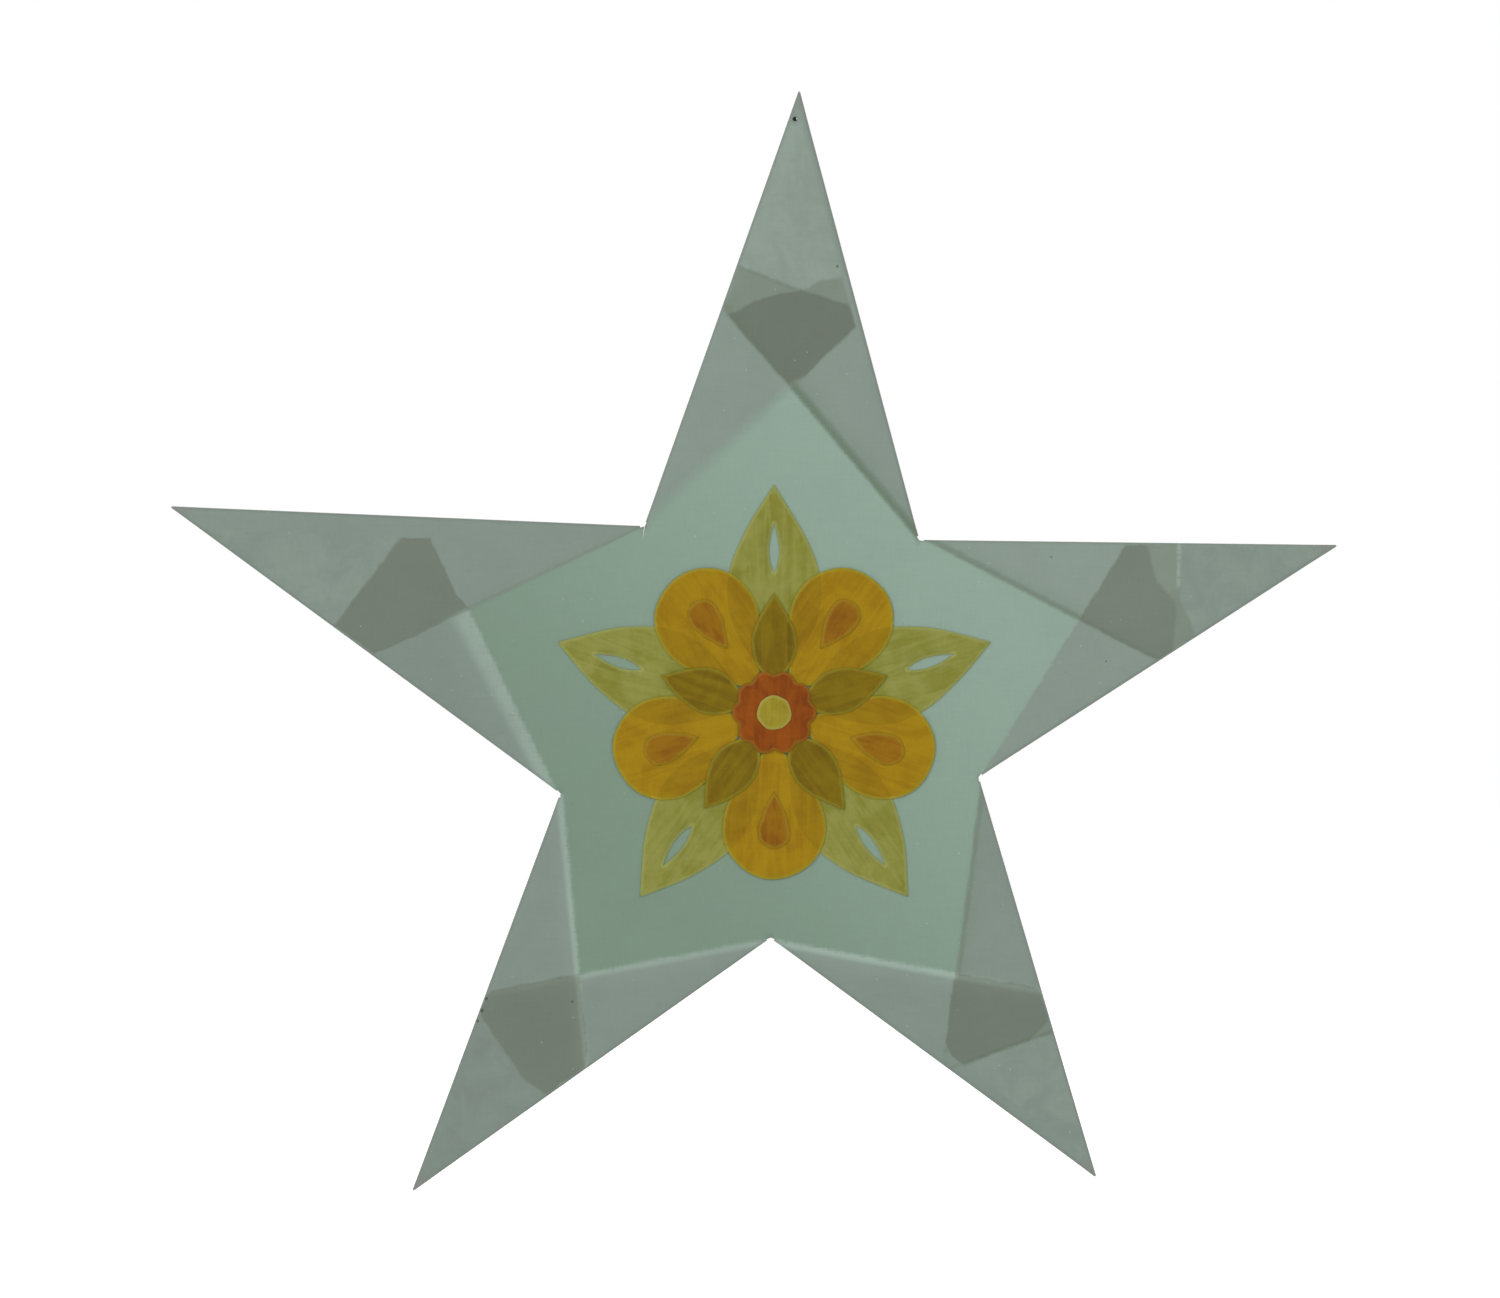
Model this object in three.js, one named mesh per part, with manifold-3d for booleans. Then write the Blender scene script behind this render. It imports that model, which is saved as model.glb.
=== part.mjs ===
// Window star folded from one pentagon of transparent paper, with a cut-paper rosette on its window.
// Millimetres, +Z up. The front looks along -Y: the sheet's front face is the plane y = 0 and the
// folded flaps lie behind it, towards +Y. The origin is the thread hole near the top tip.
//
// The pentagon is slit from the middle of each side to a notch. Each slit edge is folded over as a
// hem, and the flap is then folded behind its arm, so a strip has three layers and the place where
// an arm's two flaps cross has five.

import * as THREE from 'three';
import { mergeVertices } from 'three/addons/utils/BufferGeometryUtils.js';
import Module from 'manifold-3d';

const wasm = await Module();
wasm.setup();

// Paper
const paperThickness = 0.2;
const layerGap = 0.3;
const petalThickness = 0.2;

// Star outline
const tipRadius = 108;
const notchRadius = 40.3;

// Flaps: distances from the arm's tip, along an edge of the arm
const flapReach = 39.5;
const hemEnd = 32.5;
const freeEdgeInset = 0.7;
const slitRelief = 0.8;

// Paste between the two flaps of an arm
const pasteMargin = 1.2;

// Thread hole, from the top tip
const holeBelowTip = 5.2;
const holeLeftOfTip = 0.8;
const holeRadius = 0.4;

// Rosette: the middle of the window, seen from the middle of the star
const rosetteRight = 2;
const rosetteDown = 2;
const leafInner = 6;
const leafOuter = 41;
const leafHalfWidth = 8.6;
const leafVeinInner = 25;
const leafVeinOuter = 34;
const leafVeinHalfWidth = 0.9;
const petalInner = 5;
const petalOuter = 30;
const petalHalfWidth = 9.4;
const oliveInner = 5;
const oliveOuter = 21.5;
const oliveHalfWidth = 4.2;
const dropInner = 14;
const dropOuter = 24.5;
const dropHalfWidth = 2.9;
const heartRadius = 7.6;
const heartScallop = 0.9;
const heartScallops = 10;
const buttonRadius = 3.2;
const leafFullness = 0.85;

// Points along the curves
const leafSteps = 12;
const petalSteps = 9;
const scallopSteps = 6;
const roundSteps = 32;

// The star is folded by hand, so each corner and flap is a little off. Clockwise from the top:
// lengths in mm from the values above, turns in degrees clockwise. The notch follows the tip.
// The first flap is the one at the edge before the tip, going clockwise. It is folded first and lies
// inside the second one.
const arms = [
  {
    name: 'top',
    tip: { out: 1.8, turn: 3.4 },
    notch: { out: -0.3, turn: 8.0 },
    first: { reach: 3.9, hem: 0.8 },
    second: { reach: 1.0, hem: 3.3 },
  },
  {
    name: 'right',
    tip: { out: -1.2, turn: 2.8 },
    notch: { out: 0.7, turn: 1.0 },
    first: { reach: -0.5, hem: -4.2 },
    second: { reach: -1.3, hem: 2.8 },
  },
  {
    name: 'lower_right',
    tip: { out: -4.3, turn: 0.9 },
    notch: { out: 2.1, turn: -1.4 },
    first: { reach: -5.2, hem: -5.3 },
    second: { reach: -4.9, hem: -5.8 },
  },
  {
    name: 'lower_left',
    tip: { out: 0, turn: -0.4 },
    notch: { out: -0.2, turn: -6.2 },
    first: { reach: -1.1, hem: -2.8 },
    second: { reach: -1.2, hem: -4.8 },
  },
  {
    name: 'left',
    tip: { out: 3.9, turn: 0.2 },
    notch: { out: -2.4, turn: 2.1 },
    first: { reach: 6.6, hem: 4.0 },
    second: { reach: 5.7, hem: 2.4 },
  },
];
const armStep = 360 / arms.length;

// Plane geometry on points { x, z } seen from the front

function polar(radius, bearing) {
  const angle = THREE.MathUtils.degToRad(bearing);
  return { x: radius * Math.sin(angle), z: radius * Math.cos(angle) };
}

function shift(point, direction, distance) {
  return { x: point.x + direction.x * distance, z: point.z + direction.z * distance };
}

function towards(from, to) {
  const length = Math.hypot(to.x - from.x, to.z - from.z);
  return { x: (to.x - from.x) / length, z: (to.z - from.z) / length };
}

// The unit normal of the line through two points, on the side where a third point lies
function normalTowards(from, to, inside) {
  const along = towards(from, to);
  const normal = { x: -along.z, z: along.x };
  const side = (inside.x - from.x) * normal.x + (inside.z - from.z) * normal.z;
  return side > 0 ? normal : { x: along.z, z: -along.x };
}

// The part of a convex outline where the distance from a line, along its normal, is at least a margin
function keepBeyond(outline, point, normal, margin = 0) {
  const depth = (p) => (p.x - point.x) * normal.x + (p.z - point.z) * normal.z - margin;
  const kept = [];
  outline.forEach((p, i) => {
    const q = outline[(i + 1) % outline.length];
    const a = depth(p);
    const b = depth(q);
    if (a >= 0) {
      kept.push(p);
    }
    if (a * b < 0) {
      const share = a / (a - b);
      kept.push({ x: p.x + (q.x - p.x) * share, z: p.z + (q.z - p.z) * share });
    }
  });
  return kept;
}

function keepWithin(outline, point, normal, margin) {
  return keepBeyond(outline, point, { x: -normal.x, z: -normal.z }, -margin);
}

// Solids

function slab(outline, front, back, hole) {
  const shape = new THREE.Shape(outline.map((p) => new THREE.Vector2(p.x, p.z)));
  if (hole) {
    shape.holes.push(new THREE.Path(hole.map((p) => new THREE.Vector2(p.x, p.z))));
  }
  const geometry = new THREE.ExtrudeGeometry(shape, { depth: back - front, bevelEnabled: false });
  geometry.rotateX(Math.PI / 2);
  geometry.translate(0, back, 0);
  return geometry;
}

function toSolid(geometry) {
  geometry.deleteAttribute('normal');
  geometry.deleteAttribute('uv');
  const merged = mergeVertices(geometry);
  const mesh = new wasm.Mesh({
    numProp: 3,
    vertProperties: new Float32Array(merged.attributes.position.array),
    triVerts: new Uint32Array(merged.index.array),
  });
  return new wasm.Manifold(mesh);
}

function toGeometry(solid) {
  const mesh = solid.getMesh();
  const geometry = new THREE.BufferGeometry();
  geometry.setAttribute('position', new THREE.BufferAttribute(mesh.vertProperties, 3));
  geometry.setIndex(new THREE.BufferAttribute(mesh.triVerts, 1));
  geometry.computeVertexNormals();
  return geometry;
}

// Layers of an arm, counted from the sheet, which is 0. A flap is the layer behind its hem.
const firstHemLayer = 1;
const secondHemLayer = 3;
const layerFront = (layer) => layer * (paperThickness + layerGap);
const layerBack = (layer) => layerFront(layer) + paperThickness;

const tips = arms.map((arm, i) => polar(tipRadius + arm.tip.out, armStep * i + arm.tip.turn));
const notches = arms.map((arm, i) =>
  polar(notchRadius + arm.notch.out, armStep * (i + 0.5) + arm.notch.turn));
const starOutline = tips.flatMap((tip, i) => [tip, notches[i]]);

// The two flaps of an arm: own is the notch at the flap's crease, and other the one across the arm
function flapsOf(index) {
  const before = notches[(index + arms.length - 1) % arms.length];
  const after = notches[index];
  const tip = tips[index];
  return {
    first: { tip, own: before, other: after, ...arms[index].first },
    second: { tip, own: after, other: before, ...arms[index].second },
  };
}

// The lines that bound a flap, each as a point and the normal towards the paper
function flapLines({ tip, own, other, reach, hem }) {
  const corner = shift(tip, towards(tip, other), flapReach + reach);
  return {
    crease: [tip, normalTowards(tip, own, other)],
    farEdge: [tip, normalTowards(tip, other, own)],
    hemFold: [own, normalTowards(own, corner, tip)],
    hemEdge: [shift(tip, towards(tip, own), hemEnd + hem), towards(tip, own)],
    slitEnd: [own, towards(own, tip)],
  };
}

// Outlines of one flap, of its hem, and of the narrow bends that join them to the sheet
function flapOutlines(flap) {
  const lines = flapLines(flap);
  const triangle = keepBeyond([flap.tip, flap.own, flap.other], ...lines.slitEnd, slitRelief);
  const half = keepBeyond(triangle, ...lines.hemFold);
  const panel = keepBeyond(half, ...lines.farEdge, paperThickness + freeEdgeInset);
  const hem = keepBeyond(keepBeyond(panel, ...lines.hemEdge), ...lines.crease, paperThickness + layerGap);
  return {
    panel,
    hem,
    crease: keepWithin(triangle, ...lines.crease, paperThickness),
    hemCrease: keepWithin(hem, ...lines.hemFold, paperThickness),
  };
}

function foldedFlap(flap, hemLayer) {
  const outlines = flapOutlines(flap);
  const flapLayer = hemLayer + 1;
  return [
    slab(outlines.panel, layerFront(flapLayer), layerBack(flapLayer)),
    slab(outlines.hem, layerFront(hemLayer), layerBack(hemLayer)),
    slab(outlines.crease, layerFront(0), layerBack(flapLayer)),
    slab(outlines.hemCrease, layerFront(hemLayer), layerBack(flapLayer)),
  ];
}

function threadHole() {
  const depth = 3 * layerBack(secondHemLayer + 1);
  const drill = new THREE.CylinderGeometry(holeRadius, holeRadius, depth, roundSteps);
  return drill.translate(tips[0].x - holeLeftOfTip, 0, tips[0].z - holeBelowTip);
}

function starSheet() {
  const layers = [slab(starOutline, layerFront(0), layerBack(0))];
  arms.forEach((arm, i) => {
    const { first, second } = flapsOf(i);
    layers.push(...foldedFlap(first, firstHemLayer), ...foldedFlap(second, secondHemLayer));
  });
  const folded = layers.map(toSolid).reduce((whole, layer) => whole.add(layer));
  return toGeometry(folded.subtract(toSolid(threadHole())));
}

// The paste fills the gap between the first flap and the second hem, where the two flaps cross
function pastePatch(index) {
  const { first, second } = flapsOf(index);
  const { crease, hemFold, hemEdge } = flapLines(first);
  const bounds = [crease, hemFold, hemEdge, flapLines(second).crease, flapLines(second).hemFold];
  const outline = bounds.reduce(
    (kept, line) => keepBeyond(kept, ...line, pasteMargin), flapOutlines(second).hem);
  return slab(outline, layerBack(firstHemLayer + 1), layerFront(secondHemLayer));
}

// Rosette outlines: one piece points straight up, and its copies are turned about the middle

// Mirrors the right-hand side of an outline, listed from the bottom up, onto the left
function mirrored(right) {
  const left = right.filter((p) => p.x > 0).map((p) => ({ x: -p.x, z: p.z }));
  return [...right, ...left.reverse()];
}

// A leaf, pointed at both ends and widest below its middle
function leafOutline(inner, outer, halfWidth) {
  const right = [];
  for (let i = 0; i <= leafSteps; i += 1) {
    const share = i / leafSteps;
    const bulge = i === leafSteps ? 0 : Math.sin(Math.PI * share ** leafFullness);
    right.push({ x: halfWidth * bulge, z: inner + (outer - inner) * share });
  }
  return mirrored(right);
}

// A petal, pointed at the middle of the rosette and round at its outer end
function petalOutline(inner, outer, halfWidth) {
  const shoulder = outer - halfWidth;
  const right = [];
  for (let i = 0; i < petalSteps; i += 1) {
    const share = i / petalSteps;
    right.push({ x: halfWidth * Math.sin(share * Math.PI / 2), z: inner + (shoulder - inner) * share });
  }
  for (let i = 0; i < petalSteps; i += 1) {
    const angle = Math.PI / 2 * i / petalSteps;
    right.push({ x: halfWidth * Math.cos(angle), z: shoulder + halfWidth * Math.sin(angle) });
  }
  right.push({ x: 0, z: outer });
  return mirrored(right);
}

function roundOutline(radius) {
  return Array.from({ length: roundSteps }, (_, i) => polar(radius, 360 * i / roundSteps));
}

// A disc whose edge is cut into equal round scallops
function scallopedOutline(radius, depth, count) {
  const steps = scallopSteps * count;
  return Array.from({ length: steps }, (_, i) => {
    const share = i / steps;
    const dip = 1 - Math.abs(Math.sin(share * count * Math.PI));
    return polar(radius - depth * dip, 360 * share);
  });
}

function turned(outline, bearing) {
  const angle = THREE.MathUtils.degToRad(bearing);
  return outline.map((p) => ({
    x: rosetteRight + p.x * Math.cos(angle) + p.z * Math.sin(angle),
    z: -rosetteDown - p.x * Math.sin(angle) + p.z * Math.cos(angle),
  }));
}

// A piece of coloured paper on the front: layer 1 lies on the sheet and layer 2 on layer 1
function colouredPaper(outline, bearing, layer, hole) {
  const front = -layer * petalThickness;
  const cut = hole ? turned(hole, bearing) : undefined;
  return slab(turned(outline, bearing), front, front + petalThickness, cut);
}

// Finishes

function finish(color, roughness) {
  return new THREE.MeshStandardMaterial({ color, roughness, metalness: 0 });
}

const transparentPaper = finish(0x8ca395, 0.62);
const driedPaste = finish(0x717b70, 0.45);
const paleGreenPaper = finish(0x8b8c41, 0.6);
const amberPaper = finish(0x987805, 0.55);
const olivePaper = finish(0x7c6602, 0.6);
const orangePaper = finish(0x926d08, 0.55);
const redPaper = finish(0x814102, 0.55);
const goldPaper = finish(0x94862a, 0.55);

// Assembly

const star = new THREE.Group();
star.position.set(-(tips[0].x - holeLeftOfTip), 0, -(tips[0].z - holeBelowTip));

function place(name, geometry, material) {
  const mesh = new THREE.Mesh(geometry, material);
  mesh.name = name;
  star.add(mesh);
}

place('star_sheet', starSheet(), transparentPaper);
arms.forEach((arm, i) => place(`paste_patch_${arm.name}`, pastePatch(i), driedPaste));

const leaf = leafOutline(leafInner, leafOuter, leafHalfWidth);
const leafVein = leafOutline(leafVeinInner, leafVeinOuter, leafVeinHalfWidth);
const roundPetal = petalOutline(petalInner, petalOuter, petalHalfWidth);
const olivePetal = leafOutline(oliveInner, oliveOuter, oliveHalfWidth);
const drop = petalOutline(dropInner, dropOuter, dropHalfWidth);
arms.forEach((arm, i) => {
  const toTip = armStep * i;
  const toNotch = toTip + armStep / 2;
  place(`pale_leaf_${i + 1}`, colouredPaper(leaf, toTip, 1, leafVein), paleGreenPaper);
  place(`amber_petal_${i + 1}`, colouredPaper(roundPetal, toNotch, 2), amberPaper);
  place(`olive_petal_${i + 1}`, colouredPaper(olivePetal, toTip, 3), olivePaper);
  place(`orange_drop_${i + 1}`, colouredPaper(drop, toNotch, 3), orangePaper);
});
const heart = scallopedOutline(heartRadius, heartScallop, heartScallops);
place('red_flower_heart', colouredPaper(heart, 0, 4), redPaper);
place('gold_button', colouredPaper(roundOutline(buttonRadius), 0, 5), goldPaper);

const part = new THREE.Group();
part.add(star);

export default part;
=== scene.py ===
"""Window star folded from one pentagon of transparent paper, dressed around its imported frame.

The sheet is built as a folded surface: the front, five pairs of flaps rolled behind the arms, and a
hem turned in along each flap. A rosette of coloured paper is pasted on the front of the window.
Plan points are (x, z) in millimetres in the frame's own axes, and meshes are in metres.
"""

from __future__ import annotations

import logging
import math
import random
from dataclasses import dataclass, field
from enum import Enum
from typing import Callable, Iterable, Sequence

import bmesh
import bpy
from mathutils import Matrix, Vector
from mathutils.geometry import delaunay_2d_cdt
from mathutils.kdtree import KDTree


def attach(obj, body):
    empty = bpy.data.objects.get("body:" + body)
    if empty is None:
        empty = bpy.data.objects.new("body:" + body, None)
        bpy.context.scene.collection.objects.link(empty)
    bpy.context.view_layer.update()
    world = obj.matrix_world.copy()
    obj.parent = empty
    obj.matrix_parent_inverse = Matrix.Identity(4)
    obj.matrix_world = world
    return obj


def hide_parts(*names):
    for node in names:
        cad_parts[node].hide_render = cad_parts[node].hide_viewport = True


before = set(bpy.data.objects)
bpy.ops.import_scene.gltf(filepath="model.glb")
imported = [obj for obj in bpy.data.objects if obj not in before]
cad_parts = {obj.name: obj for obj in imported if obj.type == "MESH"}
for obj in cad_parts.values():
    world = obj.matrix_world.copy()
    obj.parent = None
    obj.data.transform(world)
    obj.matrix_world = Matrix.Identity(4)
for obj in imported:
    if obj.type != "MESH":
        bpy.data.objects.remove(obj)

log = logging.getLogger("paper_star")

# A value is a number, a colour or a socket. A noise is a Noise Texture's scale, detail, roughness and
# distortion, and a step is a smooth step's low and high end and what it gives at each, 0 and 1 if unsaid.
Pair = tuple[float, float]
Point = Pair
Triple = tuple[float, float, float]
Colour = Triple
Triangle = tuple[int, int, int]
Socket = bpy.types.NodeSocket
Value = object
Noise = tuple[float, ...]
Step = tuple[float, ...]

MM = 0.001
NEAR_ZERO = 1e-6
FULL_TURN = 360
BODY = "root"


# Plan geometry

def polar(radius: float, bearing: float) -> Point:
    """Returns the point at a distance from the middle, at a clockwise bearing in degrees from the top."""
    angle = math.radians(bearing)
    return (radius * math.sin(angle), radius * math.cos(angle))


def shift(point: Point, direction: Point, distance: float) -> Point:
    """Returns a point moved by a distance along a direction."""
    return (point[0] + direction[0] * distance, point[1] + direction[1] * distance)


def span(start: Point, end: Point) -> float:
    """Returns the distance between two points."""
    return math.hypot(end[0] - start[0], end[1] - start[1])


def towards(start: Point, end: Point) -> Point:
    """Returns the unit direction from one point to another."""
    length = span(start, end)
    return ((end[0] - start[0]) / length, (end[1] - start[1]) / length)


def between(start: Point, end: Point, share: float) -> Point:
    """Returns the point at a share of the way from one point to another."""
    return (start[0] + (end[0] - start[0]) * share, start[1] + (end[1] - start[1]) * share)


def stepped(start: Point, end: Point, step: float) -> list[Point]:
    """Splits a straight run into even steps.

    Args:
        start: First point, which is kept.
        end: Last point, which is kept.
        step: Longest distance between two points.

    Returns:
        The points from start to end.
    """
    count = max(1, math.ceil(span(start, end) / step))
    return [between(start, end, i / count) for i in range(count + 1)]


def inside(point: Point, outline: Sequence[Point]) -> bool:
    """Tells whether a point lies inside a closed outline.

    Args:
        point: Point in plan.
        outline: The outline's corners.

    Returns:
        True inside.
    """
    x, z = point
    odd = False
    previous = outline[-1]
    for corner in outline:
        if (corner[1] > z) != (previous[1] > z):
            cross = (z - corner[1]) / (previous[1] - corner[1])
            if x < corner[0] + cross * (previous[0] - corner[0]):
                odd = not odd
        previous = corner
    return odd


def edge_distance(point: Point, outline: Sequence[Point]) -> float:
    """Measures from a point to the nearest side of a closed outline.

    Args:
        point: Point in plan.
        outline: The outline's corners.

    Returns:
        The distance.
    """
    nearest = math.inf
    previous = outline[-1]
    for corner in outline:
        dx, dz = corner[0] - previous[0], corner[1] - previous[1]
        length = dx * dx + dz * dz
        share = 0.0
        if length > 0:
            share = ((point[0] - previous[0]) * dx + (point[1] - previous[1]) * dz) / length
        share = min(1.0, max(0.0, share))
        nearest = min(nearest, span(point, (previous[0] + share * dx, previous[1] + share * dz)))
        previous = corner
    return nearest


def ease(value: float, low: float, high: float) -> float:
    """Returns 0 below low, 1 above high, and a smooth step between."""
    share = min(1.0, max(0.0, (value - low) / (high - low)))
    return share * share * (3 - 2 * share)


@dataclass(frozen=True)
class Line:
    """A straight line in plan, with the unit normal towards the side that counts as positive."""

    point: Point
    normal: Point

    @classmethod
    def through(cls, start: Point, end: Point, positive: Point) -> Line:
        """Makes the line through two points.

        Args:
            start: A point on the line.
            end: Another point on the line.
            positive: A point on the side where depths are positive.

        Returns:
            The line.
        """
        along = towards(start, end)
        normal = (-along[1], along[0])
        if Line(start, normal).depth(positive) < 0:
            normal = (along[1], -along[0])
        return cls(start, normal)

    def depth(self, point: Point) -> float:
        """Returns how far a point lies on the positive side."""
        return (point[0] - self.point[0]) * self.normal[0] + (point[1] - self.point[1]) * self.normal[1]

    def moved(self, margin: float) -> Line:
        """Returns the line moved towards its positive side."""
        return Line(shift(self.point, self.normal, margin), self.normal)

    def crossing(self, start: Point, end: Point) -> Point:
        """Returns the point where the line through two points crosses this one."""
        a, b = self.depth(start), self.depth(end)
        return between(start, end, a / (a - b))

    def clip(self, outline: Sequence[Point]) -> list[Point]:
        """Cuts an outline along the line.

        Args:
            outline: The outline's corners.

        Returns:
            The part on the positive side.
        """
        kept: list[Point] = []
        for i, start in enumerate(outline):
            end = outline[(i + 1) % len(outline)]
            a, b = self.depth(start), self.depth(end)
            if a >= 0:
                kept.append(start)
            if a * b < 0:
                kept.append(between(start, end, a / (a - b)))
        return kept


# The star's layout in millimetres, with the same driving sizes as the solids. Past crossing is where along
# its length a hem fold crosses the other flap's: the shares where that begins and ends.

TIP_RADIUS = 108.0
NOTCH_RADIUS = 40.3
FLAP_REACH = 39.5
HEM_END = 32.5
FREE_EDGE_INSET = 0.9
CREASE_LIGHT = 0.25
PAST_CROSSING: Pair = (0.67, 0.74)
SHARP_BLUR = 0.5
END_LINE_FADE = 1.5
END_CLEARANCE = 0.4
SLIT_RELIEF = 0.8
HOLE_LEFT_OF_TIP = 0.8
HOLE_BELOW_TIP = 5.2
HOLE_RADIUS = 0.4
PASTE_MARGIN = 1.2
ARM_COUNT = 5
ARM_STEP = FULL_TURN / ARM_COUNT


@dataclass(frozen=True)
class FlapFold:
    """How one flap was folded, and how the light catches its hem fold.

    Lengths are in millimetres. Reach and hem are how far the flap's corner and its hem's end are off
    their named places. Glow is above 0 for a painted bright line and below 0 for a painted shadow, aside
    is how far inside the fold it starts, drift is added to that beyond the other flap's fold, and past is
    the share of the glow that goes on there. Flare is the share of its width that is lost at the notch,
    and blur is how soft the edge of the strip's painted shade is. Tone is the strip's painted shade
    against the arm's. End line is the painted glow along the hem's end, a shadow below 0, and fades
    beyond end line reach. That end is given by corners, each as its distance from the crease and how far
    it lies towards the tip of a square end.
    """

    reach: float
    hem: float
    glow: float = 0.0
    glow_width: float = 1.8
    past: float = 0.3
    blur: float = 0.3
    aside: float = 0.0
    drift: float = 0.0
    flare: float = 0.0
    tone: float = 1.0
    end_line: float = 0.0
    end_line_reach: float = 30.0
    inset: float = FREE_EDGE_INSET
    end: tuple[Point, ...] = ((0.0, 0.0), (25.0, 0.0))


@dataclass(frozen=True)
class ArmFold:
    """How one arm is off the even star, with the tones of its layers against the star's mean.
    The tones are painted shade, and they also paint how unevenly the light falls from arm to arm.

    Out is in millimetres from the even star, and turn is in degrees clockwise. The notch follows the arm.
    """

    name: str
    tip_out: float
    tip_turn: float
    notch_out: float
    notch_turn: float
    first: FlapFold
    second: FlapFold
    strip_tone: float
    tip_tone: float
    dark_tone: float


ARMS = (
    ArmFold(
        "top", 1.8, 3.4, -0.05, 8.1,
        first=FlapFold(3.9, 0.8, blur=2.2, end_line=-0.26, inset=1.0,
                       end=((0.0, 0.0), (13.0, -0.4), (25.0, 0.0))),
        second=FlapFold(1.6, 2.0, glow=-0.7, glow_width=2.4, past=0.45, blur=0.5, aside=-0.2, drift=-0.25,
                        end=((0.0, 0.0), (4.0, 0.5), (9.0, -0.2), (15.0, 0.2), (18.5, -0.1), (22.0, -1.2))),
        strip_tone=1.06, tip_tone=1.185, dark_tone=0.93),
    ArmFold(
        "right", -1.2, 2.8, 0.65, 1.35,
        first=FlapFold(-0.5, -4.2, glow=-0.55, glow_width=1.7, past=0.5, aside=0.45, tone=1.06,
                       end_line=0.34, end_line_reach=7.0,
                       end=((0.0, 0.0), (9.7, -0.1), (15.2, 2.6), (25.0, 3.4))),
        second=FlapFold(-1.3, 2.8, blur=0.4, aside=0.25,
                        end=((0.0, 0.0), (6.6, 5.3), (12.8, 4.6), (18.5, 6.6), (25.0, 7.0))),
        strip_tone=1.07, tip_tone=1.06, dark_tone=1.12),
    ArmFold(
        "lower_right", -3.8, 1.0, 2.05, -1.8,
        first=FlapFold(-4.9, -5.3, glow=-0.36, glow_width=1.5, aside=0.55, drift=-0.35, end_line=-0.42,
                       inset=2.0,
                       end=((0.0, 0.0), (4.7, 0.2), (11.4, 0.6), (17.7, 1.2), (25.0, 1.4))),
        second=FlapFold(-3.9, 0.3, glow=0.56, glow_width=1.9, past=0.35, aside=0.15, end_line=-0.3,
                        end=((0.0, 0.0), (2.0, 1.3), (7.3, 4.7), (12.7, 8.5), (17.6, 9.0), (25.0, 9.5))),
        strip_tone=0.995, tip_tone=1.055, dark_tone=1.02),
    ArmFold(
        "lower_left", 0.0, -0.4, -0.45, -6.4,
        first=FlapFold(-1.1, -2.8, glow=0.34, glow_width=1.8, past=0.2,
                       end=((0.0, 0.0), (4.5, 1.7), (12.2, 1.7), (19.3, 1.5), (25.0, 1.5))),
        second=FlapFold(-1.2, 1.7, glow=0.42, glow_width=1.3, past=0.5, aside=-0.4, flare=-0.6,
                        end=((0.0, 0.1), (5.7, 4.3), (12.1, 8.6), (16.2, 9.4), (25.0, 11.0))),
        strip_tone=0.99, tip_tone=0.95, dark_tone=1.04),
    ArmFold(
        "left", 3.9, 0.2, -2.4, 1.9,
        first=FlapFold(6.6, 4.0, glow=0.36, glow_width=6.4, past=0.0, aside=0.38, drift=0.7, flare=0.5,
                       tone=0.93, inset=3.75),
        second=FlapFold(5.7, 12.1, glow=-0.3, glow_width=1.3, past=0.1, blur=0.15, flare=0.5,
                        end=((0.0, 0.1), (3.8, 2.8), (20.1, 14.4), (25.0, 17.9))),
        strip_tone=0.99, tip_tone=1.03, dark_tone=1.03),
)


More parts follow.
